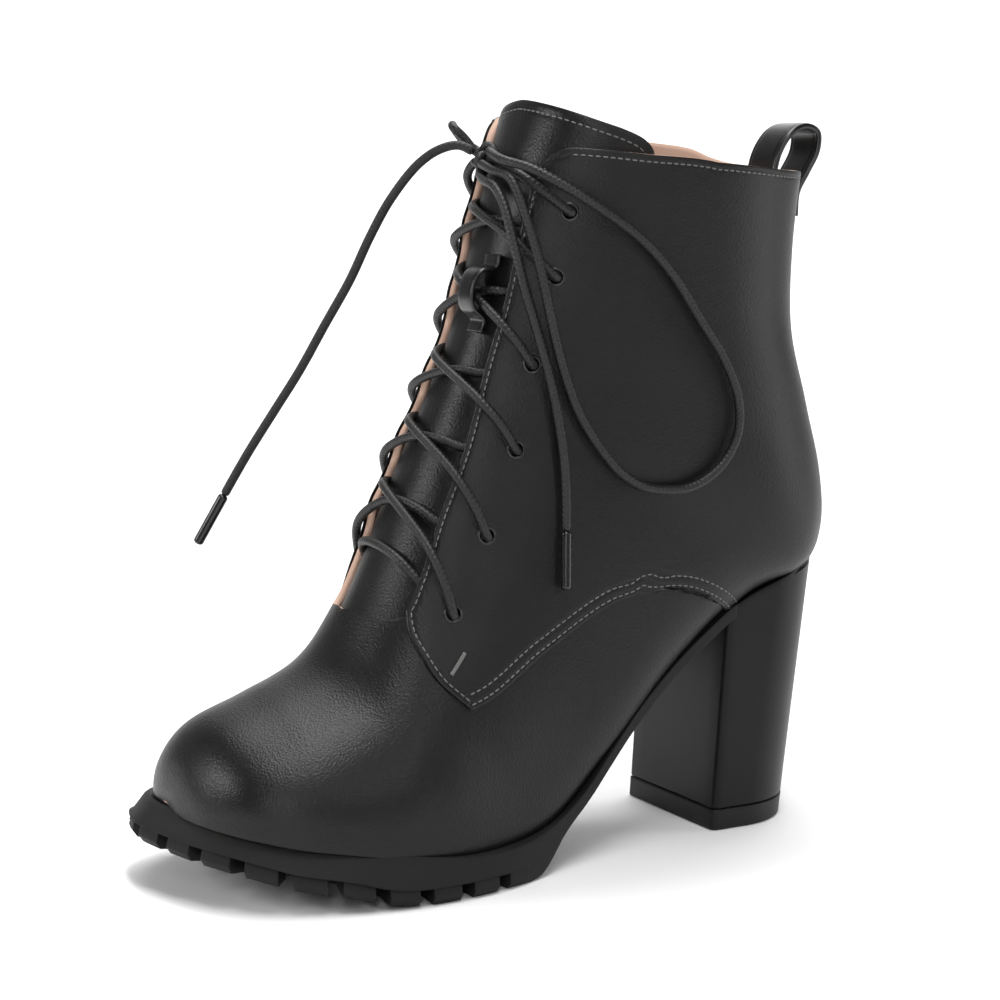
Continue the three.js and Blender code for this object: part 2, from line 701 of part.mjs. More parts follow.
const makeCrossing = (row) => crossingHalf(row, 1).add(crossingHalf(row, -1));

function makeLaceBar() {
  const { section } = eyelets[0];
  const { outer, inner } = facingEdges[0];
  const turns = [-mix(1, inner, 0.6), -mix(1, inner, 0.3), 1, mix(1, outer, 0.3), mix(1, outer, 0.6)];
  const points = turns.map((turn) => offLast(section - 0.2, turn, laceUnder));
  return lace(points, laceDiameter, 8);
}

// Routes of the free laces, point by point from the knot
const route = (rows) => rows.map(([x, y, z]) => new THREE.Vector3(x, y, z));
const knotPlace = new THREE.Vector3(89.5, -7, 223.5);
const bowRoute = route([
  [91.3, -1.4, 226.2], [94.5, 13.6, 223.4], [90.1, 22.7, 221], [83.5, 29.7, 216.5], [72.5, 35.7, 208.9],
  [58.9, 37.9, 199.6], [46.5, 38.2, 187.8], [35.8, 38.4, 173.4], [25.9, 38.6, 159.6], [20.4, 38.4, 147.1],
  [20, 38.2, 137.3], [23.5, 38, 129.3], [29.4, 37.7, 123.4], [37.7, 37.4, 119.6], [46.4, 37, 119.2],
  [54.6, 36.6, 120.6], [62.9, 36, 125.2], [68.8, 35, 131.5], [74.5, 33.8, 139.6], [78.6, 32.5, 147.6],
  [82.4, 31, 159.2], [85.6, 30.3, 171.2], [88.4, 29.7, 183.6], [90.4, 27.2, 195.9], [92.5, 23.4, 207.5],
  [94.3, 17.6, 217.9], [95, 8, 220.2], [93.4, -2.8, 222.2],
]);
const smallLoopRoute = route([
  [91.9, -10, 226.5], [94.8, -12, 230.6], [97, -13.4, 233], [95.5, -17.5, 234.2], [92.6, -20, 232],
  [90.4, -17.6, 228.4], [88.6, -12.6, 225.8],
]);
const outerEndRoute = route([
  [92.6, -5.3, 219.1], [95.6, 4, 216.8], [96.8, 12.5, 215], [96.5, 17.7, 209.6], [95.7, 22.2, 198.9],
  [93.9, 26.1, 185.1], [90.2, 28, 171.2], [86.2, 29.8, 155.5], [83.7, 31.9, 139.9], [82.8, 33.3, 129],
  [82.7, 34.4, 118], [83.2, 35.4, 108],
]);
const innerEndRoute = route([
  [93.8, -5.9, 225.6], [98, -8.8, 227.8], [103, -12.6, 226.4], [108.5, -16.8, 221.6], [115.4, -22.8, 210.2],
  [121, -26, 198.4], [126.6, -29.2, 184.5], [133.7, -33.3, 169.9], [140.7, -37.4, 155.2],
  [147.8, -41.5, 142.1], [155, -45.6, 128.9], [160.2, -48.5, 118.6], [162.6, -49.9, 113.6],
]);

// The knot: two laces come up to it from the top eyelets and are wound round each other
function makeKnot() {
  const top = eyelets.length - 1;
  const hole = eyelets[top];
  const wrapRadius = (knotDiameter - laceDiameter) / 2;
  const wrap = new THREE.TorusGeometry(wrapRadius, laceDiameter / 2, laceSides, 10);
  wrap.rotateY(Math.PI / 2.6);
  wrap.translate(knotPlace.x, knotPlace.y, knotPlace.z);
  const core = new THREE.SphereGeometry(knotDiameter / 2 - 1, 8, 6);
  core.translate(knotPlace.x, knotPlace.y, knotPlace.z);
  let knot = solidFrom(core).add(solidFrom(wrap));
  for (const [side, edge] of [[1, facingEdges[top].outer], [-1, facingEdges[top].inner]]) {
    const points = [
      offLast(hole.section, side * hole.turn, laceOver),
      offLast(hole.section + 0.1, side * mix(hole.turn, edge, 0.5), laceOver),
      offLast(hole.section + 0.3, side * edge, laceOver),
      knotPlace,
    ];
    knot = knot.add(lace(points, laceDiameter, 6));
  }
  return knot;
}

// The stiff tip past the end of a route
function makeAglet(points) {
  const end = points[points.length - 1];
  const onward = end.clone().sub(points[points.length - 2]).normalize();
  const from = end.clone().addScaledVector(onward, clearance);
  return rod(from, from.clone().addScaledVector(onward, agletLength), agletDiameter, 10);
}

const palette = {
  leather: { color: 0x141313, roughness: 0.38, metalness: 0 },
  rubber: { color: 0x101010, roughness: 0.75, metalness: 0 },
  lining: { color: 0xd8b9a2, roughness: 0.85, metalness: 0 },
  cord: { color: 0x121212, roughness: 0.6, metalness: 0 },
};

const boot = new THREE.Group();
function addPiece(name, solid, finish) {
  const material = new THREE.MeshStandardMaterial({ ...palette[finish], flatShading: true });
  const mesh = new THREE.Mesh(geometryOf(solid), material);
  mesh.name = name;
  boot.add(mesh);
}

addPiece('upper', makeUpper(), 'leather');
addPiece('outsole', makeOutsole(), 'rubber');
addPiece('heel', makeHeel(), 'leather');
addPiece('top_lift', makeTopLift(), 'rubber');
addPiece('insole', makeInsole(), 'lining');
addPiece('tongue', makeTongue(), 'leather');
addPiece('lace_keeper', makeKeeper(), 'leather');
addPiece('pull_loop', makePullLoop(), 'leather');
addPiece('lace_bar', makeLaceBar(), 'cord');
for (let row = 0; row + 1 < eyelets.length; row++) {
  addPiece(`lace_crossing_${row + 1}`, makeCrossing(row), 'cord');
}
addPiece('lace_knot', makeKnot(), 'cord');
addPiece('lace_bow', lace(bowRoute, laceDiameter, 44), 'cord');
addPiece('lace_loop_small', lace(smallLoopRoute, laceDiameter, 9), 'cord');
addPiece('lace_end_outer', lace(outerEndRoute, laceDiameter, 15), 'cord');
addPiece('lace_end_inner', lace(innerEndRoute, laceDiameter, 20), 'cord');
addPiece('aglet_outer', makeAglet(outerEndRoute), 'cord');
addPiece('aglet_inner', makeAglet(innerEndRoute), 'cord');

export default boot;
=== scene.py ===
# %% [markdown]
# # A lace up ankle boot with a block heel
#
# The boot's solids come from its CAD model and stay where they are. This script dresses them: it makes the
# leather, the seams and the laces as fine meshes over the same last, and gives every piece its finish.
# Lengths are worked out in millimetres and turned into metres when a mesh is made.

# %% Load the CAD model
import math

import bmesh
import bpy
import numpy as np
from mathutils import Matrix, Vector


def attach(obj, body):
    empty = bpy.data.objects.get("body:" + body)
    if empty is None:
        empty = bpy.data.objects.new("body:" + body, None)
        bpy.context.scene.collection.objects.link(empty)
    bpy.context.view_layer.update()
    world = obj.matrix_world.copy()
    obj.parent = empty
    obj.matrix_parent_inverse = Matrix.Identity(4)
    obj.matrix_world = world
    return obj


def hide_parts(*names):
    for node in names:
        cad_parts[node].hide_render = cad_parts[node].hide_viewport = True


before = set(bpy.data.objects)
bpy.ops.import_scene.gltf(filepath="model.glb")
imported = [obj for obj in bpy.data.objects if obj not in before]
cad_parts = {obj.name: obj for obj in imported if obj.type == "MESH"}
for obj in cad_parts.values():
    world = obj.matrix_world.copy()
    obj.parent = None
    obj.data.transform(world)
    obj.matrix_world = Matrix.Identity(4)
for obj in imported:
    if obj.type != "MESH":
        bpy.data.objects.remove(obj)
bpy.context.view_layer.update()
METRES = 0.001

# %% [markdown]
# ## The camera
#
# A product photo is taken with a long lens from a little above the boot. A camera could be aimed with a
# Track To constraint, but its three axes are worked out here from the angle round the boot, the pitch and
# the roll, so that the picture's frame is the same on every run.

# %% Set the camera
LENS = 86.3  # mm, on a sensor 36 mm wide
ROUND_FROM_SIDE, PITCH, ROLL = np.radians([29.93, 8.41, 0.44])
CAMERA_DISTANCE = 850
AIM = np.array([52.1, -60.4, 103.5])

back = np.array([
    math.sin(ROUND_FROM_SIDE) * math.cos(PITCH),
    math.cos(ROUND_FROM_SIDE) * math.cos(PITCH),
    math.sin(PITCH),
])
level = np.array([-math.cos(ROUND_FROM_SIDE), math.sin(ROUND_FROM_SIDE), 0])
rise = np.cross(back, level)
right = math.cos(ROLL) * level + math.sin(ROLL) * rise
up = math.cos(ROLL) * rise - math.sin(ROLL) * level

camera_data = bpy.data.cameras.new("photo_camera")
camera_data.lens = LENS
camera_data.sensor_width = 36
camera_data.clip_start = 0.05
camera = bpy.data.objects.new("photo_camera", camera_data)
turn = Matrix([right, up, back]).transposed().to_4x4()
camera.matrix_world = Matrix.Translation((AIM + back * CAMERA_DISTANCE) * METRES) @ turn
bpy.context.scene.collection.objects.link(camera)
bpy.context.scene.camera = camera
print("camera at", [round(x, 3) for x in camera.location])

# %% [markdown]
# ## Grids and meshes
#
# Every piece below is a surface over two parameters, worked out as one numpy array of points with rows and
# columns. Neighbouring points become the corners of a quad. Doing that once, in a helper, keeps the pieces'
# own cells about their shapes. Doubled points, such as a tube's seam and its closed ends, are merged.

# %% Turn grids into pieces
def unit(vectors):
    """Each vector divided by its length."""
    return vectors / np.maximum(np.linalg.norm(vectors, axis=-1, keepdims=True), 1e-12)


def bell(apart, width):
    """1 where apart is nothing, falling softly away over a width."""
    return np.exp(-((apart / width) ** 2))


def quads(rows, columns):
    """Corner numbers of the quads between neighbouring rows and columns of a grid."""
    corner = np.arange(rows - 1)[:, None] * columns + np.arange(columns - 1)[None, :]
    return np.stack([corner, corner + 1, corner + columns + 1, corner + columns], -1).reshape(-1, 4)


def grid(points, uv=None, outward=None, keep=None):
    """A grid's points, quads and UVs. Where outward vectors are given, the quads are turned to face them."""
    rows, columns = points.shape[:2]
    flat = points.reshape(-1, 3)
    faces = quads(rows, columns)
    if outward is not None:
        a, b, c, d = (flat[faces[:, i]] for i in range(4))
        facing = np.cross(c - a, d - b)
        agree = (facing * outward.reshape(-1, 3)[faces[:, 0]]).sum()
        faces = faces if agree > 0 else faces[:, ::-1]
    if keep is not None:
        faces = faces[keep(flat[faces])]
    uv = np.zeros((len(flat), 2)) if uv is None else uv.reshape(-1, 2)
    return flat, faces, uv


def joined(grids):
    """Several grids as one: the corner numbers of each go on from those before it."""
    starts = np.cumsum([0] + [len(g[0]) for g in grids[:-1]])
    faces = np.concatenate([g[1] + start for g, start in zip(grids, starts)])
    return np.concatenate([g[0] for g in grids]), faces, np.concatenate([g[2] for g in grids])


def new_piece(name, made, finishes, merge=0.002):
    """A smooth mesh object from millimetre points, quads and UVs, with doubled points merged."""
    points, faces, uv = made
    mesh = bpy.data.meshes.new(name)
    mesh.from_pydata((points * METRES).tolist(), [], faces.tolist())
    layer = mesh.uv_layers.new(name="lay")
    corners = np.empty(len(mesh.loops), np.int32)
    mesh.loops.foreach_get("vertex_index", corners)
    layer.data.foreach_set("uv", uv[corners].astype(np.float32).ravel())
    work = bmesh.new()
    work.from_mesh(mesh)
    bmesh.ops.remove_doubles(work, verts=work.verts, dist=merge * METRES)
    bmesh.ops.dissolve_degenerate(work, edges=work.edges, dist=1e-7)
    loose = [v for v in work.verts if not v.link_faces]
    bmesh.ops.delete(work, geom=loose, context="VERTS")
    work.to_mesh(mesh)
    work.free()
    mesh.polygons.foreach_set("use_smooth", [True] * len(mesh.polygons))
    piece = bpy.data.objects.new(name, mesh)
    bpy.context.scene.collection.objects.link(piece)
    for finish in finishes:
        mesh.materials.append(finish.material)
    return piece


def thicken(piece, thickness, slots=(0, 0)):
    """A wall of a thickness behind a surface. slots are added to its finish number inside and on the rim."""
    wall = piece.modifiers.new("wall", "SOLIDIFY")
    wall.thickness = thickness * METRES
    wall.offset = -1
    wall.use_quality_normals = True
    wall.material_offset, wall.material_offset_rim = slots


def round_edges(piece, width, segments=3, angle=40):
    """Edges sharper than an angle in degrees are rounded off."""
    bevel = piece.modifiers.new("rounding", "BEVEL")
    bevel.width = width * METRES
    bevel.segments = segments
    bevel.limit_method = "ANGLE"
    bevel.angle_limit = math.radians(angle)


def place(piece, slot, *nodes):
    """The piece rides on the boot and may stand for CAD nodes, which it hides. Its slot is not used."""
    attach(piece, "root")
    if nodes:
        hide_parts(*nodes)
    print(piece.name, len(piece.data.polygons), "faces before modifiers")
    return piece


# %% [markdown]
# ## Finishes as expressions
#
# A shader is a net of nodes, and wiring each by hand is hard to read. One small class holds a node's output
# and lets plain arithmetic add Math nodes, so a pattern reads like its formula. Any other node comes from one
# method that takes its kind, its settings and its inputs.

# %% Wrap sockets and nodes
class Wire:
    """An output of a node. Arithmetic on it adds Math nodes."""

    def __init__(self, finish, socket):
        self.finish = finish
        self.socket = socket

    def maths(self, operation, *values):
        """One Math node on this value and the others."""
        inputs = dict(enumerate((self, *values)))
        return self.finish.node("ShaderNodeMath", {"operation": operation}, inputs)

    def __add__(self, other):
        return self.maths("ADD", other)

    def __sub__(self, other):
        return self.maths("SUBTRACT", other)

    def __rsub__(self, other):
        return self.finish.node("ShaderNodeMath", {"operation": "SUBTRACT"}, {0: other, 1: self})

    def __mul__(self, other):
        return self.maths("MULTIPLY", other)

    __radd__ = __add__
    __rmul__ = __mul__


class Finish:
    """A material with one way of adding nodes."""

    def __init__(self, name, **constants):
        self.material = bpy.data.materials.new(name)
        self.material.use_nodes = True
        self.tree = self.material.node_tree
        self.shader = self.tree.nodes["Principled BSDF"]
        self.set(**constants)

    def node(self, kind, settings=None, inputs=None, output=0):
        """A node of a kind: its settings first, then values or wires on its inputs. Gives one output."""
        made = self.tree.nodes.new(kind)
        for name, value in (settings or {}).items():
            setattr(made, name, value)
        for name, value in (inputs or {}).items():
            self.feed(made.inputs[name], value)
        return Wire(self, made.outputs[output])

    def feed(self, socket, value):
        """A wire is linked to the socket, and a plain value is set on it."""
        if isinstance(value, Wire):
            self.tree.links.new(value.socket, socket)
        else:
            socket.default_value = value

    def set(self, **inputs):
        """Inputs of the surface shader, with _ in place of the blanks in their names."""
        for name, value in inputs.items():
            self.feed(self.shader.inputs[name.replace("_", " ")], value)

    def where(self):
        """The place on the piece, in metres."""
        return self.node("ShaderNodeTexCoord", output="Object")

    def noise(self, size, detail=3, roughness=0.55):
        """Soft random values with blobs of a size in millimetres."""
        inputs = {"Vector": self.where(), "Scale": 1 / (size * METRES), "Detail": detail,
                  "Roughness": roughness}
        return self.node("ShaderNodeTexNoise", None, inputs)

    def cells(self, size):
        """Distance from the nearest of scattered points a size in millimetres apart."""
        inputs = {"Vector": self.where(), "Scale": 1 / (size * METRES)}
        return self.node("ShaderNodeTexVoronoi", None, inputs)

    def blend(self, factor, one, other):
        """One colour where the factor is 0, the other where it is 1."""
        settings = {"data_type": "RGBA"}
        return self.node("ShaderNodeMix", settings, {0: factor, 6: one, 7: other}, output=2)

    def bump(self, height, depth):
        """Relief of a depth in millimetres where the height goes from 0 to 1."""
        inputs = {"Height": height, "Distance": depth * METRES, "Strength": 1}
        self.set(Normal=self.node("ShaderNodeBump", None, inputs))


# %% [markdown]
# ## Leather
#
# The upper is smooth coated leather, near black, with a satin face. Its highlights are full of fine specks,
# because the coat lies over tiny grains. A noise texture alone looks like skin, so cells about half a
# millimetre across are mixed with a finer noise, as relief and as small changes of roughness.

# %% Make the leathers
def leather(name, tone=0.0022, shine=0.30, grain=0.12, gloss=0.32):
    """Black leather: the grain is cells and fine noise, and broad noise changes its shine a little."""
    finish = Finish(name, Specular_IOR_Level=gloss)
    broad = finish.noise(34, 2)
    fine = finish.noise(0.45, 2)
    cell = finish.cells(0.75)
    dark, pale = (tone, tone * 0.97, tone * 0.96, 1), (tone * 1.5, tone * 1.42, tone * 1.4, 1)
    colour = finish.blend(broad, dark, pale)
    finish.set(Base_Color=colour, Roughness=shine + 0.05 * broad + 0.10 * fine)
    finish.bump(cell * 0.6 + fine * 0.7, grain)
    return finish


vamp_leather = leather("vamp_leather")
quarter_leather = leather("quarter_leather", shine=0.33)
edge_leather = leather("edge_leather", shine=0.22, grain=0.03, gloss=0.6)
heel_cover = leather("heel_cover", shine=0.34, grain=0.010, gloss=0.22)

# %% [markdown]
# ## Lining, rubber, lace and thread
#
# The lining is blush leather backed with fabric, dull and a little mottled. The sole is matt rubber with the
# faint haze of its mould. The lace is a round waxed braid: its strands run round the cord in two directions,
# so the relief is worked out from the tube's own lengths, which its UV map holds.

# %% Make the other finishes
def lining_cloth():
    """Blush lining with a fine tooth."""
    finish = Finish("lining_cloth", Roughness=0.82)
    broad = finish.noise(12, 2)
    finish.set(Base_Color=finish.blend(broad, (0.46, 0.30, 0.225, 1), (0.58, 0.39, 0.30, 1)))
    finish.bump(finish.noise(0.35, 2), 0.03)
    return finish


def rubber(name, tone=0.0045, shine=0.62):
    """Matt black rubber with a faint haze and a mould's fine pitting."""
    finish = Finish(name, Specular_IOR_Level=0.28)
    haze = finish.noise(9, 3)
    pits = finish.noise(0.6, 2)
    finish.set(Base_Color=finish.blend(haze, (tone, tone, tone, 1), (tone * 1.5, tone * 1.5, tone * 1.5, 1)))
    finish.set(Roughness=shine + 0.08 * haze)
    finish.bump(pits, 0.02)
    return finish


def lace_braid(diameter):
    """Waxed braid. Two waves run round the cord in opposite directions, and the higher one shows."""
    finish = Finish("lace_braid", Specular_IOR_Level=0.42)
    uv = finish.node("ShaderNodeUVMap", {"uv_map": "lay"})
    along = finish.node("ShaderNodeSeparateXYZ", None, {0: uv}, output=0)
    round_it = finish.node("ShaderNodeSeparateXYZ", None, {0: uv}, output=1)
    strand = 2 * math.pi / (0.55 * diameter)
    turn_share = 2 * math.pi * 4
    left = (along * strand + round_it * turn_share).maths("SINE")
    right_hand = (along * strand - round_it * turn_share).maths("SINE")
    braid = left.maths("MAXIMUM", right_hand) * 0.5 + 0.5
    wax = finish.noise(1.6, 2)
    speck = finish.noise(0.5, 2)
    # the colour is darker where the strands dip, in the grooves between them: painted shade, with random
    # specks
    dark, pale = (0.002, 0.002, 0.002, 1), (0.016, 0.0155, 0.015, 1)
    finish.set(Base_Color=finish.blend(braid * speck, dark, pale))
    finish.set(Roughness=0.5 - 0.18 * wax + 0.12 * speck)
    finish.bump(braid + speck * 0.5, 0.10)
    return finish


def thread_with_painted_glint():
    """Polished black thread, twisted, with a grey base colour so that its rows glint: a painted highlight.
    Fine noise gives its specks.
    """
    # the base colour is a light grey, not the thread's black: a painted highlight that makes the stitches
    # glint
    finish = Finish("seam_thread_painted_glint", Base_Color=(0.11, 0.108, 0.105, 1), Specular_IOR_Level=0.8)
    finish.set(Roughness=0.3 + 0.15 * finish.noise(0.3, 1))
    return finish


lining = lining_cloth()
sole_rubber = rubber("sole_rubber")
lift_rubber = rubber("lift_rubber", tone=0.004, shine=0.45)
LACE = 3.0
braid = lace_braid(LACE)
thread = thread_with_painted_glint()
aglet_plastic = Finish("aglet_plastic", Base_Color=(0.006, 0.006, 0.006, 1))
aglet_plastic.set(Roughness=0.22 + 0.1 * aglet_plastic.noise(3, 2))

# %% [markdown]
# ## The free laces
#
# The knot's loops and ends are one waxed cord 3 mm thick. It is stiff for its size, so the long loop stands
# out from the leg in a soft curve, and one end springs forward in the air. A curve object with a bevel would
# do, but a mesh tube has its own lengths in its UV map, which the braid needs. Each ring of the tube is the
# circle of points across the path, and its two directions turn as little as they can from ring to ring.

# %% Carry a circle along a path
def between(places, rows, at):
    """Rows of numbers at places, taken in straight lines to other places."""
    return np.stack([np.interp(at, places, column) for column in rows.T], -1)


def cubic(places, values, slopes, at):
    """Values taken to other places by a cubic in each span, which keeps the slopes at its ends."""
    i = np.clip(np.searchsorted(places, at, side="right") - 1, 0, len(places) - 2)
    width = places[i + 1] - places[i]
    u = (at - places[i]) / width
    return (values[i] * (1 + 2 * u) * (1 - u) ** 2 + width * slopes[i] * u * (1 - u) ** 2
            + values[i + 1] * u * u * (3 - 2 * u) + width * slopes[i + 1] * u * u * (u - 1))


def catmull(rows, at):
    """Rows of numbers taken to places between them, counted in rows, by a Catmull-Rom curve."""
    ends = np.vstack([2 * rows[0] - rows[1], rows, 2 * rows[-1] - rows[-2]])
    i = np.clip(np.floor(at).astype(int), 0, len(rows) - 2)
    u = (at - i)[..., None]
    a, b, c, d = (ends[i + k] for k in range(4))
    return 0.5 * (2 * b + (c - a) * u + (2 * a - 5 * b + 4 * c - d) * u**2 + (3 * b - a - 3 * c + d) * u**3)


def smooth_path(points, spacing=0.8):
    """Points evenly spaced on a cubic through the given ones, timed by the square roots of their steps."""
    points = np.asarray(points, float)
    time = np.concatenate([[0], np.cumsum(np.sqrt(np.linalg.norm(np.diff(points, axis=0), axis=1)))])
    slope = np.gradient(points, time, axis=0)
    at = np.linspace(0, time[-1], 60 * len(points))
    dense = [cubic(time, points[:, k], slope[:, k], at) for k in range(points.shape[1])]
    return evenly(np.stack(dense, 1), spacing)


def lengths(points):
    """Length along a line at each of its points."""
    return np.concatenate([[0], np.cumsum(np.linalg.norm(np.diff(points, axis=0), axis=1))])


def evenly(points, spacing):
    """The same line with its points a spacing apart."""
    length = lengths(points)
    count = max(int(round(length[-1] / spacing)), 2)
    return between(length, points, np.linspace(0, length[-1], count + 1))


def across(points):
    """Two directions across a path that turn as little as they can from one point to the next."""
    tangent = unit(np.gradient(points, axis=0))
    first = np.cross(tangent[0], [0.3, 0.2, 1])
    sides = [first / np.linalg.norm(first)]
    for ahead in tangent[1:]:
        turned = sides[-1] - ahead * (sides[-1] @ ahead)
        sides.append(turned / np.linalg.norm(turned))
    side = np.array(sides)
    return side, np.cross(tangent, side)


def tube(points, radius, sides=14):
    """A tube along a path: rings of points at a radius, closed where the radius falls to nothing."""
    one, other = across(points)
    angle = np.linspace(0, 2 * math.pi, sides + 1)
    radius = np.broadcast_to(radius, len(points))[:, None, None]
    spoke = one[:, None] * np.cos(angle)[None, :, None] + other[:, None] * np.sin(angle)[None, :, None]
    uv = np.stack(np.broadcast_arrays(lengths(points)[:, None], (angle / (2 * math.pi))[None]), -1)
    return grid(points[:, None] + spoke * radius, uv, outward=spoke)


def cord_tube(points, diameter, rounding=0.5, sides=14):
    """A tube whose two ends are rounded off over a share of its diameter."""
    length = lengths(points)
    end = rounding * diameter
    near = np.clip(np.minimum(length, length[-1] - length) / end, 0, 1)
    radius = diameter / 2 * np.sqrt(1 - (1 - near) ** 2)
    return tube(points, radius, sides)


# %% Lay the loops and ends of the bow
# every point is x, y and z in mm
KNOT = np.array([89.5, -7, 223.5])
BOW_ROUTE = [
    (91.3, -1.4, 226.2), (94.5, 13.6, 223.4), (90.1, 22.7, 221), (83.5, 29.7, 216.5), (72.5, 35.7, 208.9),
    (58.9, 37.9, 199.6), (46.5, 38.2, 187.8), (35.8, 38.4, 173.4), (25.9, 38.6, 159.6), (20.4, 38.4, 147.1),
    (20, 38.2, 137.3), (23.5, 38, 129.3), (29.4, 37.7, 123.4), (37.7, 37.4, 119.6), (46.4, 37, 119.2),
    (54.6, 36.6, 120.6), (62.9, 36, 125.2), (68.8, 35, 131.5), (74.5, 33.8, 139.6), (78.6, 32.5, 147.6),
    (82.4, 31, 159.2), (85.6, 30.3, 171.2), (88.4, 29.7, 183.6), (90.4, 27.2, 195.9), (92.5, 23.4, 207.5),
    (94.3, 17.6, 217.9), (95, 8, 220.2), (93.4, -2.8, 222.2),
]
SMALL_LOOP_ROUTE = [
    (89.9, -8.4, 224.6), (91.9, -10, 226.5), (94.8, -12, 230.6), (97, -13.4, 233), (95.5, -17.5, 234.2),
    (92.6, -20, 232), (90.4, -17.6, 228.4), (88.6, -12.6, 225.8), (88.4, -9.4, 223.6),
]
OUTER_END_ROUTE = [
    (92.6, -5.3, 219.1), (95.6, 4, 216.8), (96.8, 12.5, 215), (96.5, 17.7, 209.6), (95.7, 22.2, 198.9),
    (93.9, 26.1, 185.1), (90.2, 28, 171.2), (86.2, 29.8, 155.5), (83.7, 31.9, 139.9), (82.8, 33.3, 129),
    (82.7, 34.4, 118), (83.2, 35.4, 108),
]
INNER_END_ROUTE = [
    (93.8, -5.9, 225.6), (98, -8.8, 227.8), (103, -12.6, 226.4), (108.5, -16.8, 221.6),
    (115.4, -22.8, 210.2), (121, -26, 198.4), (126.6, -29.2, 184.5), (133.7, -33.3, 169.9),
    (140.7, -37.4, 155.2), (147.8, -41.5, 142.1), (155, -45.6, 128.9), (160.2, -48.5, 118.6),
    (162.6, -49.9, 113.6),
]
AGLET_LENGTH = 18
AGLET = 3.4


def aglet(name, path, node):
    """A stiff tip: a tube past the end of a route, rolled in at both ends."""
    end, ahead = path[-1], unit(path[-1] - path[-3])
    line = end + ahead * np.linspace(-0.6, AGLET_LENGTH + 0.3, 60)[:, None]
    piece = new_piece(name, cord_tube(line, AGLET, 0.35, 20), [aglet_plastic])
    return place(piece, "aglet", node)


def free_lace(name, route, node):
    """A cord along a route, in place of a CAD node."""
    path = smooth_path(route)
    piece = place(new_piece(name, cord_tube(path, LACE), [braid]), "lace", node)
    print(name, "is", round(lengths(path)[-1]), "mm long")
    return piece


outer_tip = aglet("aglet_tip_outer", smooth_path(OUTER_END_ROUTE), "aglet_outer")
inner_tip = aglet("aglet_tip_inner", smooth_path(INNER_END_ROUTE), "aglet_inner")
free_lace("bow_loop_long", BOW_ROUTE, "lace_bow")
free_lace("bow_loop_short", SMALL_LOOP_ROUTE, "lace_loop_small")
free_lace("lace_end_near", OUTER_END_ROUTE, "lace_end_outer")
free_lace("lace_end_far", INNER_END_ROUTE, "lace_end_inner")

# %% [markdown]
# ## The last
#
# Everything on a shoe is cut to its last. It could be sculpted, but a table of slanted sections from toe to
# collar says the same in a few shares of the shoe's length and width, and gives a point for any section and
# any turn round it. Seams, stitches and creases can then be drawn on the last itself.

# %% Measure the last
LENGTH = 241        # back of the seat to the tip of the toe
BALL = 92           # widest part of the sole
HEEL = 92           # floor to the back of the seat
INSTEP = 75         # sole up to the foot of the throat
LEG = 53            # foot of the throat up to the collar
SPRING = 14.4       # how far the tip of the sole's top lies above its ball
SOLE = 12           # forepart at the ball
WAIST = 4.5         # sole under the arch
WALL = 2.2          # upper with its lining
STEP = 1.2          # the quarters stand proud of the vamp
TOE_TWIST = 5.5     # the toe's foot lies this far to the inner side

# at, lift, spring, tread and rise of the sole from heel to toe
SOLE_STATIONS = np.array([
    (-0.187, 1.02, 0, 0, 0), (-0.137, 1, 0, 0, 0), (-0.042, 0.92, 0, 0, 0), (0.058, 0.795, 0, 0, 0),
    (0.083, 0.745, 0, 0, 0), (0.158, 0.58, 0, 0, 0), (0.224, 0.406, 0, 0, 0), (0.27, 0.27, 0, 0, 0),
    (0.307, 0.162, 0, 0, 0), (0.353, 0.07, 0, 0.12, 0), (0.402, 0.022, 0, 0.9, 0), (0.448, 0.003, 0, 1, 0),
    (0.502, 0, 0, 1, 0), (0.56, 0, 0.104, 1, 0), (0.627, 0, 0.312, 1, 0.08), (0.689, 0, 0.507, 1, 0.36),
    (0.747, 0, 0.68, 1, 0.54), (0.788, 0, 0.83, 1, 0.74), (0.842, 0, 1, 1, 0.95), (0.88, 0, 1.11, 1, 1.06),
])

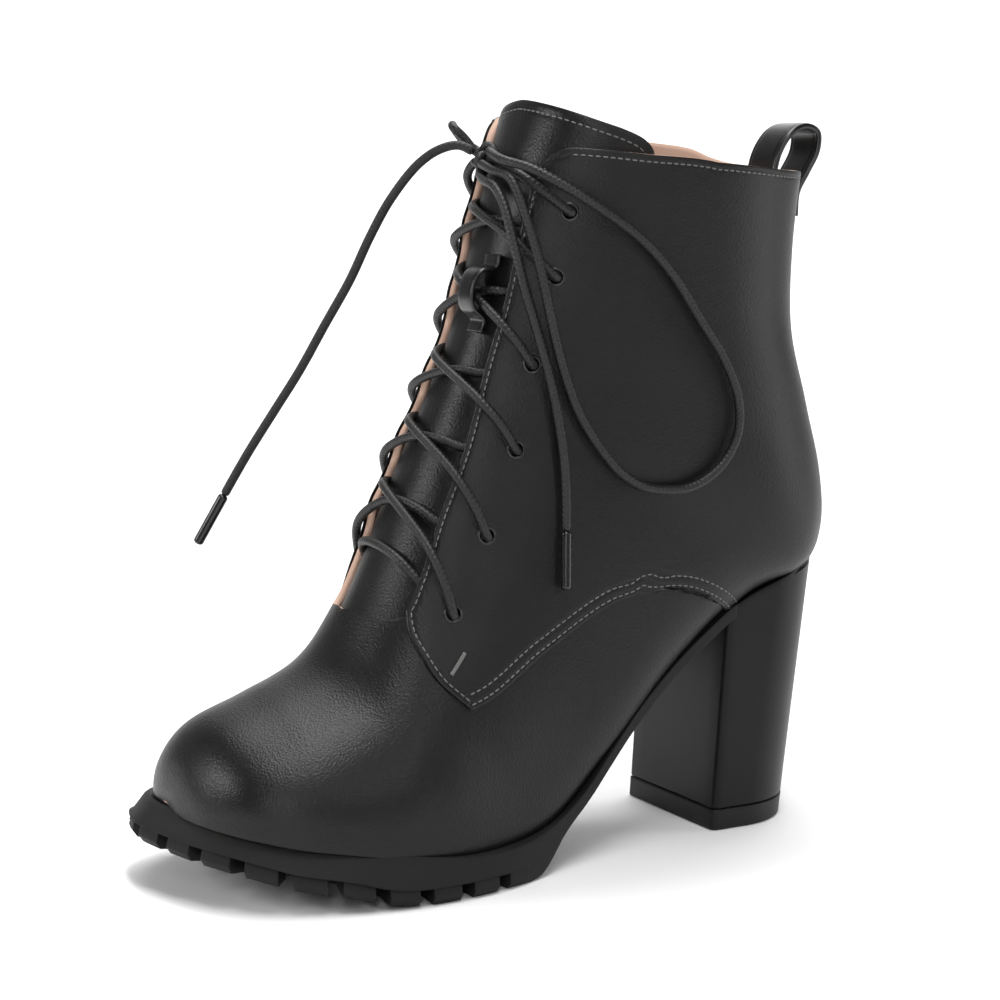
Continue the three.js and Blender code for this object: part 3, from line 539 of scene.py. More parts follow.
# heel x, heel climb, front x, front lift, front climb, outer, inner, swing, widest, under, over
LAST_SECTIONS = np.array([
    (0.842, -0.07, 0.842, 0, 0.13, 0, 0, -0.06, 0, 4, 2.2),
    (0.839, -0.07, 0.841, 0, 0.272, 0.152, 0.091, -0.054, -0.1, 5, 1.95),
    (0.824, -0.1, 0.826, 0, 0.415, 0.283, 0.199, -0.039, -0.2, 5.5, 1.95),
    (0.784, -0.1, 0.79, 0, 0.533, 0.402, 0.286, -0.028, -0.3, 5, 1.95),
    (0.714, -0.1, 0.72, 0, 0.627, 0.478, 0.343, -0.015, -0.4, 6, 1.95),
    (0.622, -0.1, 0.643, 0, 0.75, 0.516, 0.372, -0.008, -0.5, 6, 1.95),
    (0.515, -0.093, 0.589, 0, 0.978, 0.511, 0.376, -0.018, -0.52, 6, 1.98),
    (0.39, -0.09, 0.548, 0.1, 1.19, 0.457, 0.368, -0.028, -0.5, 6, 2.15),
    (0.266, -0.075, 0.515, 0.25, 1.3, 0.402, 0.36, -0.033, -0.45, 5, 2.4),
    (0.141, -0.07, 0.486, 0.4, 1.377, 0.375, 0.355, -0.022, -0.4, 4, 2.5),
    (0.017, -0.03, 0.461, 0.55, 1.415, 0.364, 0.359, -0.011, -0.35, 4, 2.55),
    (-0.085, -0.05, 0.44, 0.7, 1.434, 0.364, 0.359, 0, -0.3, 3.6, 2.6),
    (-0.132, 0.07, 0.421, 0.85, 1.47, 0.37, 0.364, 0, -0.25, 2.7, 2.6),
    (-0.138, 0.32, 0.407, 0.95, 1.566, 0.375, 0.37, 0, -0.2, 2.2, 2.6),
    (-0.112, 0.64, 0.392, 1, 1.736, 0.375, 0.37, 0, -0.15, 2.2, 2.6),
    (-0.081, 1.02, 0.3755, 1, 1.98, 0.38, 0.375, 0, -0.1, 2.2, 2.6),
    (-0.077, 1.547, 0.359, 1, 2.21, 0.397, 0.391, 0, -0.05, 2.2, 2.6),
    (-0.087, 2.038, 0.342, 1, 2.434, 0.413, 0.408, 0, -0.02, 2.2, 2.6),
    (-0.103, 2.49, 0.326, 1, 2.68, 0.424, 0.418, 0, 0, 2.2, 2.6),
])


def through(stations, column, at):
    """A smooth curve through a column of stations, straight beyond its ends: in each span a cubic that
    leaves and meets its stations at the slope of the rows about them."""
    place_at, value = stations[:, 0], stations[:, column]
    slope = np.gradient(value, place_at)
    at = np.asarray(at, float)
    before = value[0] + slope[0] * (at - place_at[0])
    after = value[-1] + slope[-1] * (at - place_at[-1])
    inside = cubic(place_at, value, slope, at)
    return np.where(at < place_at[0], before, np.where(at > place_at[-1], after, inside))


def lifted(lift):
    """Height of a point that takes a share of the heel's height with it."""
    return SOLE + (HEEL - SOLE) * lift


def climbed(climb):
    """Height above the sole: 1 is the foot of the throat and 2 the collar."""
    return INSTEP * np.minimum(climb, 1) + LEG * np.maximum(climb - 1, 0)


def sole_top(x):
    """Height of the sole's top at x."""
    return lifted(through(SOLE_STATIONS, 1, x / LENGTH)) + SPRING * through(SOLE_STATIONS, 2, x / LENGTH)


def sole_bottom(x):
    """Height of the sole's underside: a thin waist behind, the tread on the floor in front."""
    tread = np.clip(through(SOLE_STATIONS, 3, x / LENGTH), 0, 1)
    floor = np.maximum(through(SOLE_STATIONS, 4, x / LENGTH), 0) * SPRING
    return (sole_top(x) - WAIST) * (1 - tread) + floor * tread


shares = LAST_SECTIONS
ROWS = np.column_stack([
    shares[:, 0] * LENGTH, sole_top(shares[:, 0] * LENGTH) + climbed(shares[:, 1]),
    shares[:, 2] * LENGTH, lifted(shares[:, 3]) + climbed(shares[:, 4]),
    shares[:, 5] * BALL, shares[:, 6] * BALL, shares[:, 7] * BALL, shares[:, 8:],
])
TOP_SECTION = len(ROWS) - 1


def last(section, turn):
    """The last's surface. A section is a row between two of the table by a Catmull-Rom curve. Its turn goes
    from 0 at the heel side to 1 on the ridge along the outer side, and to -1 along the inner side. The
    section is a superellipse: how far up and how far out are powers of the cosine and sine of the turn."""
    section, turn = np.broadcast_arrays(np.asarray(section, float), np.asarray(turn, float))
    row = np.moveaxis(catmull(ROWS, section), -1, 0)
    heel_x, heel_z, front_x, front_z, outer, inner, swing, widest, under, over = row
    cos, sin = np.cos(turn * math.pi), np.sin(turn * math.pi)
    power = 2 / np.where(cos > 0, under, over)
    up_share = np.abs(cos) ** power
    out_share = np.abs(sin) ** power
    height = widest + (np.where(cos > 0, -1, 1) - widest) * up_share
    share = (height + 1) / 2
    half = np.where(sin >= 0, outer, inner)
    y = np.sign(sin) * half * out_share + swing * (0.5 + 0.5 * np.clip(height, -1, 1))
    toe = np.clip((front_x / LENGTH - 0.7) / 0.142, 0, 1)
    y = y - TOE_TWIST * toe * toe * (0.5 - 0.5 * np.clip(height, -1, 1))
    return np.stack([heel_x + (front_x - heel_x) * share, y, heel_z + (front_z - heel_z) * share], -1)


def last_slopes(section, turn, small=0.01):
    """How the surface moves with the section and with the turn."""
    section, turn = np.broadcast_arrays(np.asarray(section, float), np.asarray(turn, float))
    high, low = np.minimum(section + small, TOP_SECTION), np.maximum(section - small, 0)
    by_section = (last(high, turn) - last(low, turn)) / (high - low)[..., None]
    by_turn = (last(section, turn + small) - last(section, turn - small)) / (2 * small)
    return by_section, by_turn


def last_normal(section, turn):
    """Direction out of the surface."""
    by_section, by_turn = last_slopes(section, turn)
    normal = unit(np.cross(by_section, by_turn))
    middle = (last(section, np.zeros_like(turn)) + last(section, np.ones_like(turn))) / 2
    wrong = (normal * (last(section, turn) - middle)).sum(-1, keepdims=True) < 0
    return np.where(wrong, -normal, normal)


def off_last(section, turn, distance):
    """The surface moved out by a distance in millimetres."""
    section, turn = np.broadcast_arrays(np.asarray(section, float), np.asarray(turn, float))
    distance = np.broadcast_to(distance, section.shape)
    return last(section, turn) + last_normal(section, turn) * distance[..., None]


def turn_at_sole(section, above=0.0):
    """The turn where a section leaves the sole, found by halving the span from its lowest point to its
    widest one. It is 0 where the whole section is above the sole."""
    section = np.asarray(section, float)
    low, high = np.zeros_like(section), np.full_like(section, 0.5)
    for _ in range(40):
        half = (low + high) / 2
        point = last(section, half)
        inside = point[..., 2] < sole_top(point[..., 0]) + above
        low, high = np.where(inside, half, low), np.where(inside, high, half)
    start = last(section, np.zeros_like(section))
    free = start[..., 2] > sole_top(start[..., 0]) + above
    return np.where(free, 0, high)


print("collar height in mm:", np.round(last(17.03, 0.0)[2], 1))

# %% [markdown]
# ## Lines on the last
#
# The topline, the seam of the quarters and the edges of the tongue are lines in those two coordinates, each
# a smooth curve through a few points. A line can be set in by so many millimetres, measured on the leather,
# which is how a stitcher follows an edge.

# %% Draw the lines
# every row is a section and a turn
OUTER_COLLAR = [(17.03, 0), (16.98, 0.18), (16.71, 0.446), (16.34, 0.614), (16.11, 0.726), (15.95, 0.79),
                (15.68, 0.83)]
OUTER_THROAT = [(15.68, 0.83), (15.2, 0.858), (14.56, 0.862), (12.26, 0.869), (10.82, 0.868), (9.04, 0.832),
                (7.8, 0.824), (6.7, 0.815), (6.3, 0.835), (6, 0.9), (5.86, 1)]
INNER_COLLAR = [(17.03, 0), (17.09, 0.193), (17.18, 0.281), (17.14, 0.38), (17.04, 0.5), (16.95, 0.63),
                (16.86, 0.727), (16.65, 0.793)]
INNER_THROAT = [(16.65, 0.793), (16.12, 0.848), (15.38, 0.87), (14.57, 0.868), (12.26, 0.885),
                (10.48, 0.885), (8.5, 0.875), (7.05, 0.86), (6.3, 0.85), (6, 0.9), (5.86, 1)]
TAB = [(6.55, 0.818), (6.38, 0.79), (6.36, 0.75), (6.44, 0.688), (6.73, 0.618)]
SEAM = [(6.73, 0.618), (7.55, 0.577), (8.16, 0.547), (8.72, 0.522), (9.17, 0.502), (9.5, 0.477),
        (9.66, 0.4)]
SEAM_FOOT = 9.72    # section where the seam meets the heel
THROAT_FOOT = 5.86
COLLAR_BACK = 17.03
EYELETS = np.array([(7.16, 0.726), (8.29, 0.719), (9.59, 0.738), (11.27, 0.779), (13.24, 0.77),
                    (14.68, 0.756)])
# turn of the facing's edge beside each eyelet
FACING_EDGES = {1: (0.819, 0.827, 0.844, 0.869, 0.867, 0.862), -1: (0.862, 0.873, 0.88, 0.885, 0.877, 0.868)}
SIDES = (1, -1)     # outer and inner
EDGES = {1: (OUTER_COLLAR, OUTER_THROAT), -1: (INNER_COLLAR, INNER_THROAT)}
print(len(EYELETS), "eyelets on each side")


def drawn(rows, count=None, spread=None):
    """A line through (section, turn) rows by a Catmull-Rom curve. Its points are evenly spaced in
    millimetres, or at shares of its length that are given."""
    rows = np.asarray(rows, float)
    dense = catmull(rows, np.linspace(0, len(rows) - 1, 40 * len(rows)))
    length = lengths(last(*dense.T))
    spread = np.linspace(0, 1, count) if spread is None else spread
    return between(length, dense, spread * length[-1])


def set_in(line, distance, steps=8):
    """A line moved over the surface by a distance, to its left as seen from outside. Each step turns the
    sideways direction into changes of section and turn by least squares."""
    line = np.array(line, float)
    for _ in range(steps):
        by_section, by_turn = last_slopes(*line.T)
        ahead = unit(np.gradient(last(*line.T), axis=0))
        left = np.cross(last_normal(*line.T), ahead) * distance / steps
        ss, tt = (by_section**2).sum(1), (by_turn**2).sum(1)
        st = (by_section * by_turn).sum(1)
        want_s, want_t = (by_section * left).sum(1), (by_turn * left).sum(1)
        fall = ss * tt - st**2
        line[:, 0] += (want_s * tt - want_t * st) / fall
        line[:, 1] += (want_t * ss - want_s * st) / fall
    return line


def patch(low, high, start, end, across_shares=None, up_shares=None):
    """A grid of (section, turn) pairs inside four border lines: the two ways of joining opposite borders
    added, less the plain join of the corners. Borders with uneven points come with their shares."""
    u = np.linspace(0, 1, len(low)) if across_shares is None else across_shares
    v = np.linspace(0, 1, len(start)) if up_shares is None else up_shares
    u, v = u[None, :, None], v[:, None, None]
    up_way = (1 - v) * low[None] + v * high[None]
    side_way = (1 - u) * start[:, None] + u * end[:, None]
    corners = ((1 - u) * (1 - v) * low[0] + u * (1 - v) * low[-1] + (1 - u) * v * high[0] + u * v * high[-1])
    return up_way + side_way - corners


def mirrored(line, side):
    """The same line on the outer side, 1, or the inner side, -1."""
    return np.asarray(line, float) * [1, side]


def dense_ends(count, near=0.35, power=2.0):
    """Shares from 0 to 1 that crowd towards both ends."""
    t = np.linspace(-1, 1, count)
    bent = np.sign(t) * (1 - (1 - np.abs(t)) ** power)
    return 0.5 + 0.5 * (near * t + (1 - near) * bent)


# %% [markdown]
# ## Creases and pull
#
# Leather on a last is not a clean surface. The laces pull a shallow hollow at each eyelet, the facing edges
# rise between the holes, the vamp has a few soft folds where the foot bends, and there is a dip where the
# tongue is sewn in. Cloth simulation would guess at these, so they are placed as soft bells along short
# lines, in millimetres.

# %% Place the creases
# from and to as (section, turn), depth in mm and width in mm; a negative depth is a trough
CREASES = [
    ((5.5, 0.86), (5.2, 0.62), -0.35, 5.0),
    ((5.95, 0.7), (5.4, 0.52), 0.3, 4.0),
    ((4.9, 0.97), (4.7, 0.7), 0.25, 7.0),
    ((9.9, 0.62), (10.6, 0.32), -0.35, 9.0),
    ((11.4, 0.55), (12.0, 0.25), 0.35, 10.0),
    ((12.6, 0.5), (13.6, 0.22), -0.3, 9.0),
    ((10.9, 0.12), (12.4, 0.2), -0.4, 6.0),
    ((7.6, 0.64), (8.6, 0.6), -0.3, 4.0),
    ((8.2, 0.4), (9.6, 0.36), 0.3, 8.0),
]
LACE_PULL = 0.45    # hollow at an eyelet
EDGE_LIFT = 1.0     # rise of the inner facing's edge between two eyelets
PULL_SPREAD = 6.5
print(len(CREASES), "creases on each side")


def relief(section, turn):
    """How far creases and the pull of the laces move the leather: each crease is a bell across a line that
    fades towards its ends, and each eyelet a shallow round hollow."""
    point = last(section, turn)
    moved = np.zeros(point.shape[:-1])
    for side in SIDES:
        for start, end, depth, width in CREASES:
            a = last(start[0], start[1] * side)
            b = last(end[0], end[1] * side)
            along = np.clip(((point - a) @ (b - a)) / ((b - a) @ (b - a)), 0, 1)
            apart = np.linalg.norm(point - (a + along[..., None] * (b - a)), axis=-1)
            fade = np.sin(np.pi * np.clip(0.12 + 0.76 * along, 0, 1))
            moved = moved + depth * bell(apart, width) * fade
        for row, (at, hole_turn) in enumerate(EYELETS):
            apart = np.linalg.norm(point - last(at, hole_turn * side), axis=-1)
            moved = moved - LACE_PULL * bell(apart, PULL_SPREAD)
            if row + 1 < len(EYELETS) and side < 0:
                halfway = (at + EYELETS[row + 1][0]) / 2
                edge = last(halfway, -FACING_EDGES[-1][row])
                apart = np.linalg.norm(point - edge, axis=-1)
                moved = moved + EDGE_LIFT * bell(apart, PULL_SPREAD)
    return moved


def on_leather(section, turn, distance):
    """A point of the creased leather, so many millimetres out."""
    return off_last(section, turn, relief(section, turn) + distance)


# %% [markdown]
# ## The upper and its lining
#
# The vamp runs from the toe over the instep, and under the quarters to the heel. It is made here as one wall
# with its lining: black outside, blush inside and on its edge. The grid follows the sections, from the line
# where each leaves the sole to the ridge, and behind the throat to the topline. A Solidify modifier gives the
# wall its thickness with the lining's finish on the inside.

# %% Make the vamp and lining
HOLE_RADIUS = 2.3
HOLE_REACH = 0.55   # corners this near a hole's edge are drawn onto it
HOLE_SLACK = 0.05
COLUMNS = 66
FOOT_DEPTH = -1.6   # the wall's foot, measured up from the sole's top
SEAT_CLOSED = (10.3, 11.7)  # sections over which the wall closes under the seat


def open_eyelets(distance, radius):
    """Gives two functions: one draws the points next to each eyelet onto its circle, and the other then keeps
    the quads outside the circles."""
    centres = np.concatenate([off_last(EYELETS[:, 0], EYELETS[:, 1] * side, distance) for side in SIDES])

    def onto_circles(points):
        for centre in centres:
            away = points - centre
            apart = np.linalg.norm(away, axis=-1, keepdims=True)
            on_circle = centre + away / np.maximum(apart, 1e-6) * radius
            points = np.where(apart < radius + HOLE_REACH, on_circle, points)
        return points

    def outside(corners):
        nearest = np.min([np.linalg.norm(corners - c, axis=-1).max(1) for c in centres], axis=0)
        return nearest > radius + HOLE_SLACK

    return onto_circles, outside


toe_sections = THROAT_FOOT * np.linspace(0.06, 1, 78) ** 1.35
foot_turn = turn_at_sole(toe_sections, FOOT_DEPTH)
share = np.linspace(0, 1, COLUMNS)
half_toe = foot_turn[:, None] + (1 - foot_turn[:, None]) * share[None]
toe_turn = np.concatenate([half_toe, -half_toe[:, -2::-1]], 1)
toe_section = np.broadcast_to(toe_sections[:, None], toe_turn.shape)
toe_grid = grid(on_leather(toe_section, toe_turn, 0), outward=last_normal(toe_section, toe_turn))

back_sections = evenly(np.column_stack([np.linspace(THROAT_FOOT, COLLAR_BACK, 200)] * 2), 0.1)[:, 0]
shell_grids = [toe_grid]
leg_rows = len(back_sections)
onto_circles, outside = open_eyelets(0, HOLE_RADIUS + 0.3)
for side, (collar, throat) in EDGES.items():
    low = np.column_stack([np.full(COLUMNS, THROAT_FOOT), half_toe[-1]])
    closing = np.clip((SEAT_CLOSED[1] - back_sections) / (SEAT_CLOSED[1] - SEAT_CLOSED[0]), 0, 1)
    foot = turn_at_sole(back_sections, FOOT_DEPTH) * closing * closing * (3 - 2 * closing)
    start = np.column_stack([back_sections, foot])
    high = drawn(collar, COLUMNS)
    end = drawn(throat[::-1], leg_rows)
    section, turn = np.moveaxis(patch(low, high, start, end), -1, 0)
    turn = turn * side
    points = onto_circles(on_leather(section, turn, 0))
    shell_grids.append(grid(points, outward=last_normal(section, turn), keep=outside))

shell = new_piece("vamp_and_lining", joined(shell_grids), [vamp_leather, lining, lining], merge=0.03)
thicken(shell, WALL, (1, 2))
place(shell, "leather", "upper")

# %% [markdown]
# ## The quarters
#
# Each quarter is a separate panel laid over the vamp, with its edge folded in and sewn down. Two rows of
# stitches follow the curved seam, one row the facing and the collar. The panel is a grid between its four
# edges, crowded near them, so that the roll of the fold and the dip of each stitch row are real shape.

# %% Make the quarters
SEAM_ROWS = (1.5, 4.6)      # stitch rows from the seam's edge
FACING_ROW = 1.7            # stitch row from the facing's edge
COLLAR_ROW = 2.2
STITCH_DIP = 0.22
EDGE_ROLL = 0.35            # how far a panel's folded edge is rolled down
QUARTER_GAP = 0.12          # between a quarter and the vamp under it
# edge, distance of a stitch row from it, width of the dip
DIPS = [("seam", row, 0.5) for row in SEAM_ROWS] + [("front", FACING_ROW, 0.6), ("collar", COLLAR_ROW, 0.5)]
ACROSS, UP_SHARES = dense_ends(150), dense_ends(190)
BELOW, ABOVE = (0.58, 0.5), (1.42, 0.8)   # reach and power of the cosine under and over the widest line
seat_search = np.linspace(11, 13, 2001)
SEAT_SECTION = seat_search[np.argmax(turn_at_sole(seat_search, 0.1) == 0)]


def nearest(points, line):
    """Distance of each point from a line of points, for all at once."""
    flat = points.reshape(-1, 3)
    best = np.full(len(flat), 1e9)
    for chunk in np.array_split(line, max(len(line) // 60, 1)):
        apart = np.linalg.norm(flat[:, None] - chunk[None], axis=-1).min(1)
        best = np.minimum(best, apart)
    return best.reshape(points.shape[:-1])


def eased(rows, rounds=300):
    """A line of (section, turn) rows with its inner points drawn between their neighbours again and again.
    Turns are worked with as shares of height off the last's widest line, powers of their cosine."""
    line = drawn(rows, 201)
    cos = np.cos(line[:, 1] * math.pi)
    low, high = (reach * np.abs(cos) ** power for reach, power in (BELOW, ABOVE))
    line[:, 1] = np.where(cos > 0, -low, high)
    for _ in range(rounds):
        line[1:-1] += 0.25 * (line[2:] - 2 * line[1:-1] + line[:-2])
    away = np.abs(line[:, 1])
    low, high = (away / BELOW[0]) ** (1 / BELOW[1]), (away / ABOVE[0]) ** (1 / ABOVE[1])
    cos = np.where(line[:, 1] < 0, low, -high)
    return np.column_stack([line[:, 0], np.arccos(np.clip(cos, -1, 1)) / math.pi])[::4]


def relaxed(made, rounds=80):
    """A patch whose points about the seat are drawn between their four neighbours, so no columns cross."""
    u, v = np.clip(1.5 - 2.5 * ACROSS, 0, 1)[None, :, None], np.clip(1.6 - 3 * UP_SHARES, 0, 1)[:, None, None]
    weight = (u * v)[1:-1, 1:-1]
    for _ in range(rounds):
        middle = (made[2:, 1:-1] + made[:-2, 1:-1] + made[1:-1, 2:] + made[1:-1, :-2]) / 4
        made[1:-1, 1:-1] += weight * (middle - made[1:-1, 1:-1])
    return made


def quarter_lines(side, collar, throat):
    """The quarter's foot, seam, front, collar and back as (section, turn) lines on one side. The foot is its
    whole lower border: round the seat from the middle of the back, then along the seam."""
    seam_end = np.array([SEAM_FOOT, float(turn_at_sole(SEAM_FOOT, 0.1))])
    seam = eased(np.vstack([seam_end, SEAM[::-1]]))
    seat_s = SEAT_SECTION - (SEAT_SECTION - SEAM_FOOT) * np.linspace(0, 1, 40)[:-1] ** 2
    seat = np.column_stack([seat_s, turn_at_sole(seat_s, 0.1)])
    over_foot = [row for row in throat[::-1] if row[0] > 6.6]
    front = TAB[::-1] + over_foot
    back_line = [(at, 0) for at in np.linspace(SEAT_SECTION, COLLAR_BACK, 12)]
    rows = {"foot": (np.vstack([seat, seam]), ACROSS), "seam": (seam, ACROSS), "front": (front, UP_SHARES),
            "collar": (collar, ACROSS), "back": (back_line, UP_SHARES)}
    return {label: mirrored(drawn(line, spread=spread), side) for label, (line, spread) in rows.items()}


def make_quarter(name, side, collar, throat):
    """A panel over the last: raised by the step, rolled down at its edges, dipped along its stitches."""
    lines = quarter_lines(side, collar, throat)
    made = relaxed(patch(lines["foot"], lines["collar"], lines["back"], lines["front"], ACROSS, UP_SHARES))
    section, turn = np.moveaxis(made, -1, 0)
    flat = last(section, turn)
    edge = {label: nearest(flat, last(*line.T)) for label, line in lines.items()}
    border = np.minimum(np.minimum(edge["seam"], edge["front"]), edge["collar"])
    raised = STEP - EDGE_ROLL * np.exp(-border / 0.5)
    for label, distance, width in DIPS:
        raised = raised - STITCH_DIP * bell(edge[label] - distance, width)
    onto, outside_holes = open_eyelets(STEP, HOLE_RADIUS)
    points = onto(on_leather(section, turn, raised))
    made = grid(points, outward=last_normal(section, turn), keep=outside_holes)
    piece = new_piece(name, made, [quarter_leather, edge_leather], merge=0.01)
    thicken(piece, STEP - QUARTER_GAP, (0, 1))
    round_edges(piece, 0.3, 3, 50)
    place(piece, "leather", "upper")
    return lines


names = {1: "quarter_outer", -1: "quarter_inner"}
quarter_edges = {side: make_quarter(names[side], side, *EDGES[side]) for side in SIDES}

# %% [markdown]
# ## The stitches
#
# A stitch is a short lump of thread whose ends go into the leather. Hundreds are needed, so one low ball is
# stretched, turned and set down for all of them in one array operation: along the seam, across it, and out
# of the surface.

# %% Sew the rows
STITCH_PITCH = 2.35
STITCH_LENGTH = 1.75


def stitch_lumps(points, ahead, out, length=STITCH_LENGTH, thick=0.52):
    """One stretched ball for each place: ahead, across and out of the leather."""
    rings, sides = 7, 7
    a = np.linspace(0, math.pi, rings)
    b = np.linspace(0, 2 * math.pi, sides)
    ball = np.stack([
        np.broadcast_to(-np.cos(a)[:, None], (rings, sides)),
        np.sin(a)[:, None] ** 0.7 * np.cos(b)[None],
        np.sin(a)[:, None] ** 0.7 * np.sin(b)[None],
    ], -1) * [length / 2, thick / 2, thick / 2]
    side = unit(np.cross(out, ahead))
    spots = (points[:, None, None] + ball[None, ..., 0:1] * ahead[:, None, None]
             + ball[None, ..., 1:2] * side[:, None, None] + ball[None, ..., 2:3] * out[:, None, None])
    one = quads(rings, sides)
    faces = (one[None] + (np.arange(len(points)) * rings * sides)[:, None, None]).reshape(-1, 4)
    flat = spots.reshape(-1, 3)
    return flat, faces[:, ::-1], np.zeros((len(flat), 2))


def sew(line, distance, pitch=STITCH_PITCH, trim=(0.0, 0.0)):
    """Stitches along a (section, turn) line: places a pitch apart, lying on the leather."""
    points = on_leather(*line.T, distance)
    length = lengths(points)
    at = np.arange(pitch / 2 + trim[0], length[-1] - pitch / 2 - trim[1], pitch)
    ahead = unit(between(length, points, at + 0.3) - between(length, points, at - 0.3))
    out = unit(between(length, last_normal(*line.T), at))
    return stitch_lumps(between(length, points, at), ahead, out)


def resampled(line, spacing=1.0):
    """A (section, turn) line with even points in millimetres."""
    length = lengths(last(*line.T))
    return between(length, line, np.linspace(0, length[-1], int(length[-1] / spacing)))


def inner_row(line, distance, side):
    """A stitch row inside an edge. The seam, front and back lines run so that inside is to one side."""
    return set_in(resampled(line), -distance * side)


LINE_DEPTH = STEP - STITCH_DIP + 0.12
sewn = []
for side, lines in quarter_edges.items():
    for row in SEAM_ROWS:
        sewn.append(sew(inner_row(lines["seam"], row, side), LINE_DEPTH))
    sewn.append(sew(inner_row(lines["front"], FACING_ROW, side), LINE_DEPTH, trim=(2, 3)))
    sewn.append(sew(inner_row(lines["collar"], -COLLAR_ROW, side), LINE_DEPTH, trim=(3, 6)))
stitches = new_piece("seam_stitches", joined(sewn), [thread], merge=0.0005)
place(stitches, "leather")

# %% [markdown]
# ## The back strip and the bar tacks
#
# The quarters meet at the centre of the back under a narrow strip that runs down from the collar. It is a
# small grid: one way down the back, the other across, each point put on the last by turning its distance
# from the middle back into a turn. A bar tack, a short thick row of thread, holds each facing's corner.

# %% Make the back strip
STRIP_WIDTH = 9.0
STRIP_FOOT = 12.6
STRIP_RISE = 0.62
STRIP_DIP = 0.25


def turn_beside(section, y):
    """The turn at which a section near the heel side is y millimetres off its middle."""
    row = last(section, 0.5), last(section, -0.5)
    half = np.where(y >= 0, row[0][..., 1], -row[1][..., 1])
    under = np.interp(section, np.arange(len(ROWS)), ROWS[:, 8])
    return np.sign(y) * np.arcsin(np.clip(np.abs(y) / half, 0, 1) ** (under / 2)) / math.pi


strip_section = np.linspace(STRIP_FOOT, COLLAR_BACK - 0.02, 110)[:, None]
strip_y = STRIP_WIDTH / 2 * dense_ends(25, 0.5, 2)[None] * 2 - STRIP_WIDTH / 2
strip_section, strip_y = np.broadcast_arrays(strip_section, strip_y)
strip_turn = turn_beside(strip_section, strip_y)
edge_gap = STRIP_WIDTH / 2 - np.abs(strip_y)
strip_height = STEP + STRIP_RISE - STRIP_DIP * bell(edge_gap - 1.5, 0.45) - 0.3 * np.exp(-edge_gap / 0.3)
strip_points = on_leather(strip_section, strip_turn, strip_height)
strip = new_piece("back_strip", grid(strip_points, outward=last_normal(strip_section, strip_turn)),
                  [edge_leather])
thicken(strip, 0.6)
round_edges(strip, 0.2, 2, 50)
place(strip, "leather")

# %% Make the bar tacks
tacks = []
for side in SIDES:
    ends = np.array([(7.0, 0.678), (6.65, 0.68)]) * [1, side]
    bar = resampled(np.stack([np.linspace(ends[0][k], ends[1][k], 20) for k in (0, 1)], 1), 0.25)
    for shift in (-0.35, 0.0, 0.35):
        moved = set_in(bar, shift)
        tacks.append(sew(moved, STEP + 0.15, pitch=1.15))
bar_tacks = new_piece("bar_tacks", joined(tacks), [thread], merge=0.0005)
place(bar_tacks, "leather")

# %% [markdown]
# ## The eyelets
#
# The holes are punched and edged with a small black ring. A ring is a profile turned about the hole's own
# axis: a rounded lip over the quarter and a short barrel down through both layers.

# %% Make the eyelet rings
def turned(profile, centre, axis, ahead, sides=28):
    """A profile of (radius, height) pairs turned about an axis."""
    angle = np.linspace(0, 2 * math.pi, sides + 1)[None, :, None]
    side = np.cross(axis, ahead)
    spoke = ahead * np.cos(angle) + side * np.sin(angle)
    radius, height = np.moveaxis(np.asarray(profile, float), -1, 0)
    return centre + spoke * radius[:, None, None] + axis * height[:, None, None], spoke


LIP = (HOLE_RADIUS + 0.25, STEP + 0.05)     # radius and height of the lip's middle
BARREL = (HOLE_RADIUS - 0.1, HOLE_RADIUS + 0.35, -WALL - 0.1)   # inner and outer radius, and lower end
round_lip = np.linspace(0, 2 * math.pi, 13)
lip_profile = np.column_stack([LIP[0] + 0.42 * np.cos(round_lip), LIP[1] + 0.3 * np.sin(round_lip)])
barrel_profile = [(BARREL[0], STEP), (BARREL[0], BARREL[2]), (BARREL[1], BARREL[2]), (BARREL[1], STEP),
                  (BARREL[0], STEP)]
ring_grids = []
for side in SIDES:
    for at, hole_turn in EYELETS:
        spot = on_leather(at, hole_turn * side, 0)
        axis = last_normal(at, hole_turn * side)
        by_section, _ = last_slopes(at, hole_turn * side)
        ahead = unit(by_section - axis * (by_section @ axis))
        points, spoke = turned(lip_profile, spot, axis, ahead)
        middle = spot + spoke * LIP[0] + axis * LIP[1]
        ring_grids.append(grid(points, outward=points - middle))
        points, spoke = turned(barrel_profile, spot, axis, ahead)
        middle = spot + spoke * (HOLE_RADIUS + 0.12) - axis * 0.5
        ring_grids.append(grid(points, outward=points - middle))
rings = new_piece("eyelet_rings", joined(ring_grids), [edge_leather], merge=0.0005)
place(rings, "leather")

# %% [markdown]
# ## The sole
#
# The sole is a moulding: a thin arch behind, a thick forepart with blocks round its edge and bars across its
# middle. A boolean could cut the gaps, but building each block as its own rounded solid under the base keeps
# every edge clean, and one function does them all from the rim's outline. The rim is the smooth curve through
# the stations of its plan, and a point of it is set in or out along the sideways direction.

# %% Draw the rim
# x as a share of the length, outer and inner half width as shares of the ball's width
RIM = np.array([
    (0.045, 0.295, 0.293), (0.11, 0.305, 0.293), (0.158, 0.315, 0.293), (0.224, 0.342, 0.299),
    (0.307, 0.397, 0.321), (0.353, 0.435, 0.348), (0.402, 0.484, 0.375), (0.448, 0.522, 0.402),
    (0.502, 0.543, 0.429), (0.56, 0.543, 0.446), (0.627, 0.522, 0.451), (0.689, 0.484, 0.44),
    (0.747, 0.418, 0.413), (0.788, 0.337, 0.38), (0.822, 0.217, 0.326), (0.842, 0.087, 0.25),
])
RIM_TIP = (0.857, -0.09)
FLARE = 2.6
CHAMFER = 1.6
TOE_LEAN = 1.6      # the side leans out so much more at the toe
RIM_ROLL = (0.12, 0.63)     # how far the top edge is rolled in, in two steps
LUG_HEIGHT = 5.2
LUG_ROOT = 0.4      # the blocks reach so far into the base
